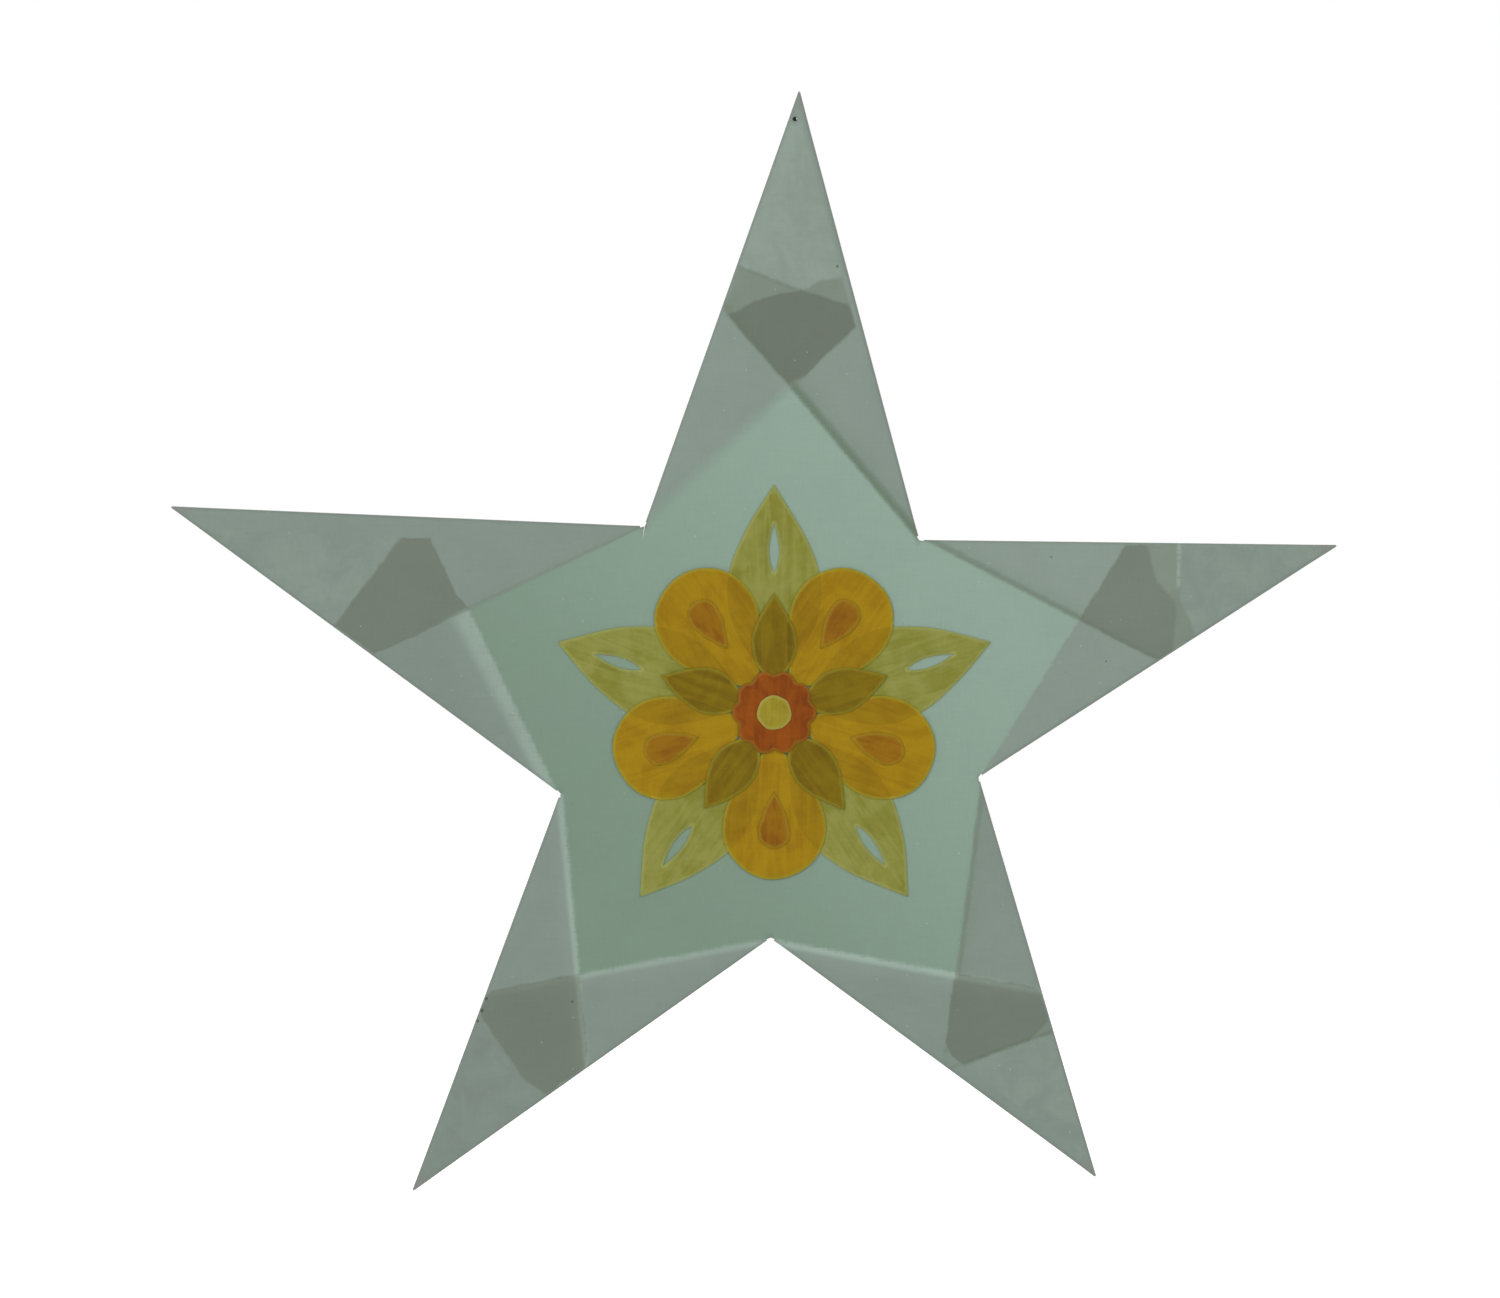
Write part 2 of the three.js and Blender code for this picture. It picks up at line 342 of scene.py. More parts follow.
@dataclass(frozen=True)
class Flap:
    """One flap: its crease runs from the arm's tip to its own notch, and it reaches the other edge."""

    tip: Point
    own: Point
    other: Point
    fold: FlapFold
    hem_layer: int

    @property
    def layer(self) -> int:
        """Layer of the flap itself, which lies behind its hem."""
        return self.hem_layer + 1

    @property
    def crease(self) -> Line:
        """The crease at the arm's edge."""
        return Line.through(self.tip, self.own, self.other)

    @property
    def far_edge(self) -> Line:
        """The arm's other edge."""
        return Line.through(self.tip, self.other, self.own)

    @property
    def free_edge(self) -> Line:
        """The flap's free edge, set in from the arm's other edge."""
        return self.far_edge.moved(self.fold.inset)

    @property
    def corner(self) -> Point:
        """The flap's corner on the arm's other edge."""
        return shift(self.tip, towards(self.tip, self.other), FLAP_REACH + self.fold.reach)

    @property
    def hem_fold(self) -> Line:
        """The fold of the hem, from the flap's own notch to its corner."""
        return Line.through(self.own, self.corner, self.tip)

    @property
    def hem_edge(self) -> Line:
        """The end of the hem, square to the crease."""
        along = towards(self.tip, self.own)
        return Line(shift(self.tip, along, HEM_END + self.fold.hem), along)

    def along_fold(self, point: Point) -> float:
        """Returns how far along the hem fold a point is, from 0 at the notch to 1 at the corner."""
        return min(1.0, span(self.own, point) / span(self.own, self.corner))

    def glow_width(self, point: Point) -> float:
        """Returns the width of the light or shadow along the hem fold, near a point."""
        return self.fold.glow_width * (1 - self.fold.flare * (1 - self.along_fold(point)))

    def crossed(self, point: Point) -> float:
        """Returns 0 before the other flap's fold and 1 beyond it, along the hem fold."""
        return ease(self.along_fold(point), *PAST_CROSSING)

    def fold_depth(self, point: Point) -> float:
        """Returns how far a point looks to lie inside the hem fold, which bends at the crossing."""
        return self.hem_fold.depth(point) - self.fold.aside - self.fold.drift * self.crossed(point)

    def blur(self, point: Point) -> float:
        """Returns how soft the hem fold looks near a point: it is sharp beyond the crossing."""
        sharp = min(self.fold.blur, SHARP_BLUR)
        return self.fold.blur + (sharp - self.fold.blur) * self.crossed(point)

    def end_line(self, point: Point) -> float:
        """Returns the glow of the line along the hem's end, near a point."""
        reach = self.fold.end_line_reach
        return self.fold.end_line * (1 - ease(self.crease.depth(point), reach, reach + END_LINE_FADE))

    def cover_depth(self, point: Point) -> float:
        """Returns how far a point looks to lie inside the flap; its free edge lies along the crease."""
        inset = self.fold.inset if self.fold.inset > FREE_EDGE_INSET else CREASE_LIGHT
        return min(self.fold_depth(point), self.far_edge.depth(point) - inset)

    def end_offset(self, across: float) -> float:
        """Works out how far the hem's end lies towards the tip.

        Args:
            across: Distance from the crease.

        Returns:
            The offset from a square end.
        """
        corners = self.fold.end
        for low, high in zip(corners, corners[1:]):
            if across <= high[0]:
                share = max(0.0, (across - low[0]) / (high[0] - low[0]))
                return low[1] + (high[1] - low[1]) * share
        return corners[-1][1]

    def hem_depth(self, point: Point) -> float:
        """Returns how far a point lies inside the hem's end."""
        return self.hem_edge.depth(point) + self.end_offset(self.crease.depth(point))

    def hem_end_run(self, step: float) -> list[Point]:
        """Follows the hem's end from the crease across the arm.

        Args:
            step: Distance between two points.

        Returns:
            The points.
        """
        square, inward = self.hem_edge, self.crease.normal
        run = []
        for i in range(int(self.fold.end[-1][0] / step)):
            across = i * step
            base = shift(square.point, inward, across)
            run.append(shift(base, square.normal, -self.end_offset(across)))
        return run

    def cut_at_end(self, outline: Sequence[Point], step: float) -> list[Point]:
        """Keeps the part of an outline that the hem covers.

        Args:
            outline: Outline that the hem's end crosses twice.
            step: Distance between the points along the new side.

        Returns:
            The cut outline.
        """
        ends = [p for p in self.hem_end_run(step)
                if inside(p, outline) and edge_distance(p, outline) > END_CLEARANCE]
        cut: list[Point] = []
        leaving = 0
        for i, start in enumerate(outline):
            end = outline[(i + 1) % len(outline)]
            a, b = self.hem_depth(start), self.hem_depth(end)
            if a >= 0:
                cut.append(start)
            if a * b < 0:
                cut.append(between(start, end, a / (a - b)))
                if a > 0:
                    leaving = len(cut)
        if ends and leaving and span(cut[leaving - 1], ends[-1]) < span(cut[leaving - 1], ends[0]):
            ends.reverse()
        return cut[:leaving] + ends + cut[leaving:] if leaving else cut


@dataclass(frozen=True)
class Arm:
    """One arm of the star with its two flaps."""

    fold: ArmFold
    tip: Point
    before: Point
    after: Point

    @property
    def first(self) -> Flap:
        """The flap that was folded first and lies inside."""
        return Flap(self.tip, self.before, self.after, self.fold.first, hem_layer=1)

    @property
    def second(self) -> Flap:
        """The flap that was folded last and lies outside."""
        return Flap(self.tip, self.after, self.before, self.fold.second, hem_layer=3)

    def pair(self, value: Callable[[Flap], float], third: float = 0.0) -> Triple:
        """Returns a value of both flaps, and a third number."""
        return (value(self.first), value(self.second), third)

    def edge_distance(self, point: Point) -> float:
        """Returns the distance from a point to the arm's nearer edge."""
        return min(self.first.crease.depth(point), self.second.crease.depth(point))

    def tones(self, point: Point) -> Triple:
        """Works out the tones of an arm's layers at a point.

        Args:
            point: Point in plan.

        Returns:
            The tones of the strip there, of the arm's tip and of its dark patch.
        """
        in_first = self.first.cover_depth(point) > self.second.cover_depth(point)
        strip = self.fold.strip_tone * (self.fold.first if in_first else self.fold.second).tone
        return (strip, self.fold.tip_tone, self.fold.dark_tone)


class StarLayout:
    """The star's corners in the frame's own axes: the thread hole is the origin."""

    def __init__(self) -> None:
        """Places the middle, the tips and the notches."""
        raw_tip = polar(TIP_RADIUS + ARMS[0].tip_out, ARMS[0].tip_turn)
        self.middle: Point = (HOLE_LEFT_OF_TIP - raw_tip[0], HOLE_BELOW_TIP - raw_tip[1])
        tips = [self.placed(polar(TIP_RADIUS + arm.tip_out, ARM_STEP * i + arm.tip_turn))
                for i, arm in enumerate(ARMS)]
        notches = [self.placed(polar(NOTCH_RADIUS + arm.notch_out, ARM_STEP * (i + 0.5) + arm.notch_turn))
                   for i, arm in enumerate(ARMS)]
        self.arms = [Arm(fold, tips[i], notches[i - 1], notches[i]) for i, fold in enumerate(ARMS)]
        self.tips = tips
        self.notches = notches

    def placed(self, point: Point) -> Point:
        """Returns a point given from the star's middle, in the frame's axes."""
        return (point[0] + self.middle[0], point[1] + self.middle[1])

    def arm_at(self, point: Point) -> Arm:
        """Finds the arm whose sector holds a point.

        Args:
            point: Point in plan.

        Returns:
            The arm.
        """
        x, z = point[0] - self.middle[0], point[1] - self.middle[1]
        for arm in self.arms:
            before = (arm.before[0] - self.middle[0], arm.before[1] - self.middle[1])
            after = (arm.after[0] - self.middle[0], arm.after[1] - self.middle[1])
            if before[0] * z - before[1] * x <= 0 and after[0] * z - after[1] * x >= 0:
                return arm
        return self.arms[0]


# Surfaces

SHEET_THICKNESS = 0.14
LAYER_PITCH = 0.36
PETAL_THICKNESS = 0.12
PETAL_PITCH = 0.15
WELD_DISTANCE = 0.002
MERGE_DISTANCE = 0.01
GRID_CLEARANCE = 0.55
RIM_CLEARANCE = 0.8


@dataclass(frozen=True)
class PaperRise:
    """Gives the height of each paper layer, in millimetres towards the back.

    Hand-folded paper that has hung in the open has slow waves, each given here by its lengths along x
    and z and its phase, with fine buckles between them, and its arms bend back towards their tips. Its
    layers lie closer together at the tips and notches, where the folds meet.
    """

    layout: StarLayout
    rest: float = 0.1
    slow_waves: tuple[Triple, Triple] = ((19, 31, 0.6), (-43, 17, 1.9))
    slow_height: float = 0.11
    buckles: tuple[float, float, float, float] = (7.3, 9.1, 11.7, 0.4)
    buckle_height: float = 0.03
    bend_back: float = 0.1
    tip_pinch: float = 0.1
    tip_reach: float = 7.0
    notch_pinch: float = 0.3
    notch_reach: float = 4.0

    def wave(self, point: Point) -> float:
        """Works out the height of the waves, the buckles and the arms' bend.

        Args:
            point: Point in plan.

        Returns:
            The height of the front face.
        """
        x, z = point[0] - self.layout.middle[0], point[1] - self.layout.middle[1]
        slow = sum(math.sin(x / along + z / up + phase) for along, up, phase in self.slow_waves)
        along, up, rows, phase = self.buckles
        fine = math.sin(x / along - z / up) * math.sin(z / rows + phase)
        reach = math.hypot(x, z) / TIP_RADIUS
        return (self.rest + self.slow_height * slow + self.buckle_height * fine
                + self.bend_back * reach * reach)

    def pinch(self, point: Point) -> float:
        """Works out how much closer the layers lie near a tip or a notch.

        Args:
            point: Point in plan.

        Returns:
            The share of their pitch that they keep.
        """
        tip = min(span(point, tip) for tip in self.layout.tips)
        notch = min(span(point, notch) for notch in self.layout.notches)
        return min(self.tip_pinch + (1 - self.tip_pinch) * ease(tip, 0, self.tip_reach),
                   self.notch_pinch + (1 - self.notch_pinch) * ease(notch, 0, self.notch_reach))

    def sheet(self, point: Point, layer: int) -> float:
        """Returns the middle of a sheet layer; layer 0 is the front."""
        return SHEET_THICKNESS / 2 + self.wave(point) + layer * LAYER_PITCH * self.pinch(point)


class Surface:
    """A growing mesh in millimetres: points are (x, y, z) and faces are lists of indices."""

    def __init__(self) -> None:
        """Starts empty."""
        self.points: list[Triple] = []
        self.faces: list[tuple[int, ...]] = []

    def add_patch(self, points: Iterable[Triple], faces: Iterable[Sequence[int]]) -> None:
        """Adds a patch.

        Args:
            points: Its points.
            faces: Its faces, whose indices count from its own first point.
        """
        base = len(self.points)
        self.points.extend(points)
        self.faces.extend(tuple(base + i for i in face) for face in faces)

    def add_plan(self, points: Sequence[Point], triangles: Sequence[Triangle], height: Callable[[Point], float],
                 flipped: bool = False) -> None:
        """Adds a triangulated plan at its height, facing the front unless flipped."""
        turn = -1 if flipped else 1
        self.add_patch([(x, height((x, z)), z) for x, z in points], [t[::turn] for t in triangles])

    def add_rows(self, rows: Sequence[Sequence[Triple]]) -> None:
        """Adds a strip of faces.

        Args:
            rows: Rows of points of the same length.
        """
        width = len(rows[0])
        faces = [(r * width + i, r * width + i + 1, (r + 1) * width + i + 1, (r + 1) * width + i)
                 for r in range(len(rows) - 1) for i in range(width - 1)]
        self.add_patch([point for row in rows for point in row], faces)

    def to_mesh(self, name: str) -> bpy.types.Mesh:
        """Makes a mesh in metres.

        Args:
            name: Name of the mesh.

        Returns:
            The mesh.
        """
        mesh = bpy.data.meshes.new(name)
        mesh.from_pydata([(x * MM, y * MM, z * MM) for x, y, z in self.points], [], self.faces)
        mesh.validate()
        return mesh


def distance_finder(points: Sequence[Vector]) -> Callable[[Point], float]:
    """Prepares the search for the nearest of some points.

    Args:
        points: The points.

    Returns:
        A function that gives a plan point's distance to the nearest one.
    """
    tree = KDTree(len(points))
    for i, point in enumerate(points):
        tree.insert((point[0], point[1], 0.0), i)
    tree.balance()
    return lambda point: tree.find((point[0], point[1], 0.0))[2]


def triangulate(outline: Sequence[Point], spacing: float, guides: Iterable[Sequence[Point]] = (),
                hole: Sequence[Point] = (), rim: float = 0.0) -> tuple[list[Point], list[Triangle]]:
    """Fills an outline with even triangles.

    Args:
        outline: Closed outline, already split as finely as its side should be.
        spacing: Distance between the points inside.
        guides: Lines that triangle sides must follow.
        hole: Closed outline that stays empty.
        rim: Distance of an extra row of points inside the outline, or 0 for none.

    Returns:
        The points, and the triangles as index triples that face the front.
    """
    points: list[Vector] = []
    edges: list[tuple[int, int]] = []
    for line, closed in ((outline, True), *((guide, False) for guide in guides), (hole, True)):
        base, count = len(points), len(line)
        points.extend(Vector(p) for p in line)
        edges.extend((base + i, base + (i + 1) % count) for i in range(count if closed else count - 1))
    if rim:
        for i, point in enumerate(outline):
            along = towards(outline[i - 1], outline[(i + 1) % len(outline)])
            for side in ((-along[1], along[0]), (along[1], -along[0])):
                inner = shift(point, side, rim)
                if inside(inner, outline) and edge_distance(inner, outline) > RIM_CLEARANCE * rim:
                    points.append(Vector(inner))
    nearest = distance_finder(points)
    x_low, x_high = min(p[0] for p in outline), max(p[0] for p in outline)
    z_low, z_high = min(p[1] for p in outline), max(p[1] for p in outline)
    row_step = spacing * math.sqrt(3) / 2
    for row in range(int((z_high - z_low) / row_step) + 1):
        z = z_low + (row + 0.5) * row_step
        for column in range(int((x_high - x_low) / spacing) + 1):
            point = (x_low + (column + (0.5 if row % 2 else 0.0)) * spacing, z)
            if nearest(point) > GRID_CLEARANCE * spacing and inside(point, outline):
                points.append(Vector(point))
    found, _, triangles, _, _, _ = delaunay_2d_cdt(points, edges, [], 0, MERGE_DISTANCE)
    plan = [(p[0], p[1]) for p in found]
    kept = []
    for a, b, c in triangles:
        centre = (sum(plan[i][0] for i in (a, b, c)) / 3, sum(plan[i][1] for i in (a, b, c)) / 3)
        if inside(centre, outline) and not (hole and inside(centre, hole)):
            kept.append((a, b, c))
    return plan, kept


def add_object(name: str, data: bpy.types.ID) -> bpy.types.Object:
    """Puts a mesh, a lamp or a camera in the scene.

    Args:
        name: Name of the object.
        data: What it shows.

    Returns:
        The object.
    """
    made = bpy.data.objects.new(name, data)
    bpy.context.scene.collection.objects.link(made)
    return made


def add_piece(name: str, mesh: bpy.types.Mesh, material: bpy.types.Material, node: str) -> None:
    """Makes a piece of a mesh, dresses it and ties it to the frame.

    Args:
        name: Name of the piece.
        mesh: Its mesh, in metres and in place.
        material: Its material.
        node: The frame's node that the piece stands for.
    """
    for polygon in mesh.polygons:
        polygon.use_smooth = True
    mesh.materials.append(material)
    piece = add_object(name, mesh)
    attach(piece, BODY)
    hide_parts(node)
    log.info("%s: %d faces", name, len(mesh.polygons))


def corner_vectors(mesh: bpy.types.Mesh, name: str, value: Callable[[Point, Point], tuple]) -> None:
    """Writes a vector on every face corner.

    Args:
        mesh: The mesh to write on.
        name: Name of the attribute.
        value: Takes a corner's plan point and its face's middle, and returns three numbers.
    """
    attribute = mesh.attributes.new(name, "FLOAT_VECTOR", "CORNER")
    for polygon in mesh.polygons:
        middle = (polygon.center.x / MM, polygon.center.z / MM)
        for loop in polygon.loop_indices:
            co = mesh.vertices[mesh.loops[loop].vertex_index].co
            attribute.data[loop].vector = value((co.x / MM, co.z / MM), middle)


# The folded sheet

@dataclass
class FoldedSheet:
    """The one sheet of the star: its front, flaps, rolled creases and hems.

    Guides are lines that the front's triangles follow, so that its lines come out sharp: along a free
    edge that is set in, and over a share of the fold below its corner. Marks are the outlines of what
    shows through from the other side.
    """

    layout: StarLayout
    rise: PaperRise
    step: float = 1.6
    front_spacing: float = 1.9
    flap_spacing: float = 2.2
    bend_steps: int = 6
    settle_rounds: int = 3
    hem_clearance: float = 0.5
    crease_clearance: float = 0.2
    tip_gap: float = 0.35
    free_edge_guide: float = 12.0
    fold_guide: float = 0.25
    tear: Point = (-0.35, -2.5)
    tear_width: float = 0.1
    hole_wobble: float = 0.08
    hole_sides: int = 12
    marks: Sequence[Sequence[Point]] = ()
    surface: Surface = field(default_factory=Surface)

    def crease_run(self, flap: Flap) -> list[Point]:
        """Follows the line where the front ends and a flap's crease begins.

        Args:
            flap: The flap.

        Returns:
            The points from notch to tip.
        """
        along = towards(flap.own, flap.tip)
        start = shift(flap.own, along, SLIT_RELIEF)
        end = shift(flap.tip, along, -self.tip_gap)
        run = []
        for base in stepped(start, end, self.step):
            inset = 0.0
            for _ in range(self.settle_rounds):
                inset = flap.layer * LAYER_PITCH * self.rise.pinch(shift(base, flap.crease.normal, inset)) / 2
            run.append(shift(base, flap.crease.normal, inset))
        return run

    def hem_run(self, flap: Flap) -> list[Point]:
        """Follows the line where a flap ends and its hem's bend begins.

        Args:
            flap: The flap.

        Returns:
            The points from notch to corner.
        """
        along = towards(flap.own, flap.corner)
        start = shift(flap.own, along, SLIT_RELIEF)
        end = flap.free_edge.crossing(flap.own, flap.corner)
        return [shift(base, flap.hem_fold.normal, LAYER_PITCH * self.rise.pinch(base) / 2)
                for base in stepped(start, end, self.step)]

    def bend(self, run: Sequence[Point], outward: Point, low: int, high: int) -> None:
        """Adds a rolled bend from one layer to another, bulging outward.

        Args:
            run: Plan points where both layers meet the bend.
            outward: Unit direction of the bulge.
            low: Layer where the bend begins.
            high: Layer where it ends.
        """
        rows = []
        for point in run:
            start, end = self.rise.sheet(point, low), self.rise.sheet(point, high)
            radius = abs(end - start) / 2
            row = []
            for i in range(self.bend_steps + 1):
                angle = math.pi * i / self.bend_steps
                x, z = shift(point, outward, radius * math.sin(angle))
                row.append((x, start + (end - start) * (1 - math.cos(angle)) / 2, z))
            rows.append(row)
        self.surface.add_rows(rows)

    def front_outline(self) -> list[Point]:
        """Lines up the front's edge, set in by each crease's bend.

        Returns:
            The outline.
        """
        outline: list[Point] = []
        for arm in self.layout.arms:
            up = self.crease_run(arm.first)
            down = self.crease_run(arm.second)[::-1]
            outline += [*self.notch_corner(arm), *up, arm.tip, *down]
        return outline

    def notch_corner(self, arm: Arm) -> list[Point]:
        """Places a notch; the one before the top arm is torn a little further in.

        Args:
            arm: The arm after the notch.

        Returns:
            The notch's points.
        """
        if arm is not self.layout.arms[0]:
            return [arm.before]
        end = (arm.before[0] + self.tear[0], arm.before[1] + self.tear[1])
        half = self.tear_width / 2
        return [shift(arm.before, (-1.0, 0.0), half), end, shift(arm.before, (1.0, 0.0), half)]

    def front_guides(self) -> list[list[Point]]:
        """Lists the hem folds, which the front's triangles follow so that they take the crease.

        Returns:
            The lines.
        """
        guides = []
        for arm in self.layout.arms:
            for flap in (arm.first, arm.second):
                far = flap.far_edge.moved(2 * FREE_EDGE_INSET).crossing(flap.own, flap.corner)
                near = shift(flap.own, towards(flap.own, far), 2 * SLIT_RELIEF)
                guides.append(stepped(near, far, self.step))
                if flap.fold.inset > FREE_EDGE_INSET:
                    drawn_in = (flap.hem_fold.normal, flap.fold.aside + flap.fold.drift)
                    start, end = shift(flap.own, *drawn_in), shift(flap.corner, *drawn_in)
                    corner = flap.free_edge.crossing(start, end)
                    up_edge = shift(corner, towards(flap.other, flap.tip), self.free_edge_guide)
                    guides.append(stepped(corner, up_edge, self.step))
                    guides.append(stepped(corner, between(corner, start, self.fold_guide), self.step))
        return guides

    def flap_outline(self, flap: Flap) -> list[Point]:
        """Follows a flap up its crease, down its free edge, then along its hem fold.

        Args:
            flap: The flap.

        Returns:
            The outline.
        """
        crease, hem = self.crease_run(flap), self.hem_run(flap)
        edge = flap.free_edge
        kept = [p for p in crease if edge.depth(p) > self.crease_clearance]
        near_tip = [] if len(kept) == len(crease) else [edge.crossing(kept[-1], crease[len(kept)])]
        return [*kept, *near_tip, *stepped(kept[-1], hem[-1], self.step)[1:-1], *hem[::-1]]

    def hem_outline(self, flap: Flap) -> list[Point]:
        """Returns the outline of a hem: the flap's outline, cut along the hem's uneven end."""
        outline = flap.crease.moved(self.hem_clearance).clip(self.flap_outline(flap))
        return flap.cut_at_end(outline, self.step)

    def add_flap(self, flap: Flap) -> None:
        """Adds a flap with its crease, its hem and the hem's bend.

        Args:
            flap: The flap.
        """
        crease, hem_run = self.crease_run(flap), self.hem_run(flap)
        outward = (-flap.crease.normal[0], -flap.crease.normal[1])
        self.bend(crease, outward, 0, flap.layer)
        plan, triangles = triangulate(self.flap_outline(flap), self.flap_spacing)
        self.surface.add_plan(plan, triangles, lambda p: self.rise.sheet(p, flap.layer), flipped=True)
        kept = [p for p in hem_run if flap.hem_depth(p) > -NEAR_ZERO]
        outward = (-flap.hem_fold.normal[0], -flap.hem_fold.normal[1])
        self.bend(kept, outward, flap.layer, flap.hem_layer)
        plan, triangles = triangulate(self.hem_outline(flap), self.flap_spacing)
        self.surface.add_plan(plan, triangles, lambda p: self.rise.sheet(p, flap.hem_layer))

    def hole_outline(self) -> list[Point]:
        """Shapes the edge of the pricked thread hole, which is slightly out of round.

        Returns:
            The outline.
        """
        turn = FULL_TURN / self.hole_sides
        return [polar(HOLE_RADIUS * (1 + self.hole_wobble * math.sin(3 * i)), turn * i)
                for i in range(self.hole_sides)]

    def build(self) -> bpy.types.Mesh:
        """Builds the whole sheet and gives it its thickness.

        Returns:
            The sheet's closed mesh.
        """
        guides = [*self.front_guides(), *([*mark, mark[0]] for mark in self.marks)]
        plan, triangles = triangulate(self.front_outline(), self.front_spacing, guides, self.hole_outline())
        self.surface.add_plan(plan, triangles, lambda p: self.rise.sheet(p, 0))
        for arm in self.layout.arms:
            self.add_flap(arm.first)
            self.add_flap(arm.second)
        return thickened(self.surface.to_mesh("folded_sheet"), SHEET_THICKNESS)


def thickened(mesh: bpy.types.Mesh, thickness: float) -> bpy.types.Mesh:
    """Welds a surface, evens its normals and gives it thickness on both sides.

    Args:
        mesh: A surface in metres.
        thickness: Thickness in millimetres.

    Returns:
        A closed mesh.
    """
    shell = bmesh.new()
    shell.from_mesh(mesh)
    bmesh.ops.remove_doubles(shell, verts=shell.verts[:], dist=WELD_DISTANCE * MM)
    bmesh.ops.recalc_face_normals(shell, faces=shell.faces[:])
    shell.to_mesh(mesh)
    shell.free()
    scratch = add_object("scratch", mesh)
    solid = scratch.modifiers.new("solid", "SOLIDIFY")
    solid.thickness = thickness * MM
    solid.offset = 0
    graph = bpy.context.evaluated_depsgraph_get()
    made = bpy.data.meshes.new_from_object(scratch.evaluated_get(graph))
    bpy.data.objects.remove(scratch)
    return made


# Shader building

class Graph:
    """Adds nodes to a tree, so that a formula reads as one line."""

    spot_core = 0.4

    def __init__(self, tree: bpy.types.NodeTree) -> None:
        """Keeps the tree."""
        self.tree = tree

    def node(self, kind: str, inputs: dict[object, Value] | None = None, **settings: Value) -> bpy.types.Node:
        """Adds a node.

        Args:
            kind: Blender's name for the node's type.
            inputs: Values or sockets for its inputs, by name or number.
            **settings: Settings of the node itself.

        Returns:
            The node.
        """
        made = self.tree.nodes.new(kind)
        for name, value in settings.items():
            setattr(made, name, value)
        for key, value in (inputs or {}).items():
            if isinstance(value, Socket):
                self.link(value, made.inputs[key])
            else:
                made.inputs[key].default_value = value
        return made

    def find(self, kind: str) -> bpy.types.Node:
        """Returns the first node of a type."""
        return next(node for node in self.tree.nodes if node.type == kind)

    def link(self, source: Socket, target: Socket) -> None:
        """Links one node's output to another's input."""
        self.tree.links.new(source, target)

    def math(self, operation: str, *values: Value) -> Socket:
        """Returns the result of a Math node."""
        return self.node("ShaderNodeMath", dict(enumerate(values)), operation=operation).outputs[0]

    def product(self, first: Value, second: Value) -> Socket:
        """Returns two numbers multiplied."""
        return self.math("MULTIPLY", first, second)

    def sum(self, first: Value, second: Value) -> Socket:
        """Returns two numbers added."""
        return self.math("ADD", first, second)

    def less(self, first: Value, second: Value) -> Socket:
        """Returns the first number less the second."""
        return self.math("SUBTRACT", first, second)

    def vector(self, operation: str, *values: Value) -> Socket:
        """Returns the vector result of a Vector Math node."""
        return self.node("ShaderNodeVectorMath", dict(enumerate(values)), operation=operation).outputs[0]

    def scaled(self, vector: Value, factors: Colour) -> Socket:
        """Returns a vector with each part multiplied by its own factor."""
        return self.vector("MULTIPLY", vector, factors)

    def smooth(self, value: Value, low: Value, high: Value, start: Value = 0.0, end: Value = 1.0) -> Socket:
        """Returns a smooth step of a value: start below low, and end above high."""
        inputs = {"Value": value, "From Min": low, "From Max": high, "To Min": start, "To Max": end}
        return self.node("ShaderNodeMapRange", inputs, interpolation_type="SMOOTHSTEP").outputs[0]

    def mix(self, share: Value, first: Value, second: Value) -> Socket:
        """Returns two colours mixed, by the share of the second one."""
        first, second = (value if isinstance(value, Socket) else (*value, 1.0) for value in (first, second))
        return self.node("ShaderNodeMix", {0: share, 6: first, 7: second}, data_type="RGBA").outputs[2]

    def lay(self, colour: Value, over: Value, mask: Value, share: Value) -> Socket:
        """Returns a colour with another laid over it, by a share of a mask."""
        return self.mix(self.product(mask, share), colour, over)

    def noise(self, vector: Value, scale: float, detail: float = 2.0, roughness: float = 0.5,
              distortion: float = 0.0) -> Socket:
        """Adds a Noise Texture.

        Args:
            vector: Position.
            scale: Waves to a unit of the position.
            detail: Number of finer levels.
            roughness: Strength of the finer levels.
            distortion: How far the pattern is warped.

        Returns:
            The socket of its value, 0 to 1.
        """
        inputs = {"Vector": vector, "Scale": scale, "Detail": detail, "Roughness": roughness,
                  "Distortion": distortion}
        return self.node("ShaderNodeTexNoise", inputs).outputs["Fac"]

    def spots(self, vector: Value, scale: float, radius: float, share: float) -> Socket:
        """Returns a mask of scattered round spots.

        Args:
            vector: Position.
            scale: Cells to a unit of the position.
            radius: Radius of a spot as a share of its cell.
            share: Share of the cells that hold a spot.

        Returns:
            The mask's socket.
        """
        cells = self.node("ShaderNodeTexVoronoi", {"Vector": vector, "Scale": scale, "Randomness": 1.0})
        near = self.smooth(cells.outputs["Distance"], self.spot_core * radius, radius, 1.0, 0.0)
        parts = self.node("ShaderNodeSeparateColor", {0: cells.outputs["Color"]})
        chosen = self.math("LESS_THAN", parts.outputs[0], share)
        return self.product(near, chosen)

    def times(self, vector: Value, factor: Value) -> Socket:
        """Returns a vector or colour multiplied by one number."""
        return self.node("ShaderNodeVectorMath", {0: vector, "Scale": factor}, operation="SCALE").outputs[0]

    def vector_length(self, vector: Value) -> Socket:
        """Returns the length of a vector."""
        return self.node("ShaderNodeVectorMath", {0: vector}, operation="LENGTH").outputs["Value"]

    def parts(self, vector: Value) -> bpy.types.NodeOutputs:
        """Returns the three parts of a vector."""
        return self.node("ShaderNodeSeparateXYZ", {0: vector}).outputs

    def attribute(self, name: str) -> Socket:
        """Returns a mesh attribute's vector."""
        return self.node("ShaderNodeAttribute", attribute_name=name).outputs["Vector"]

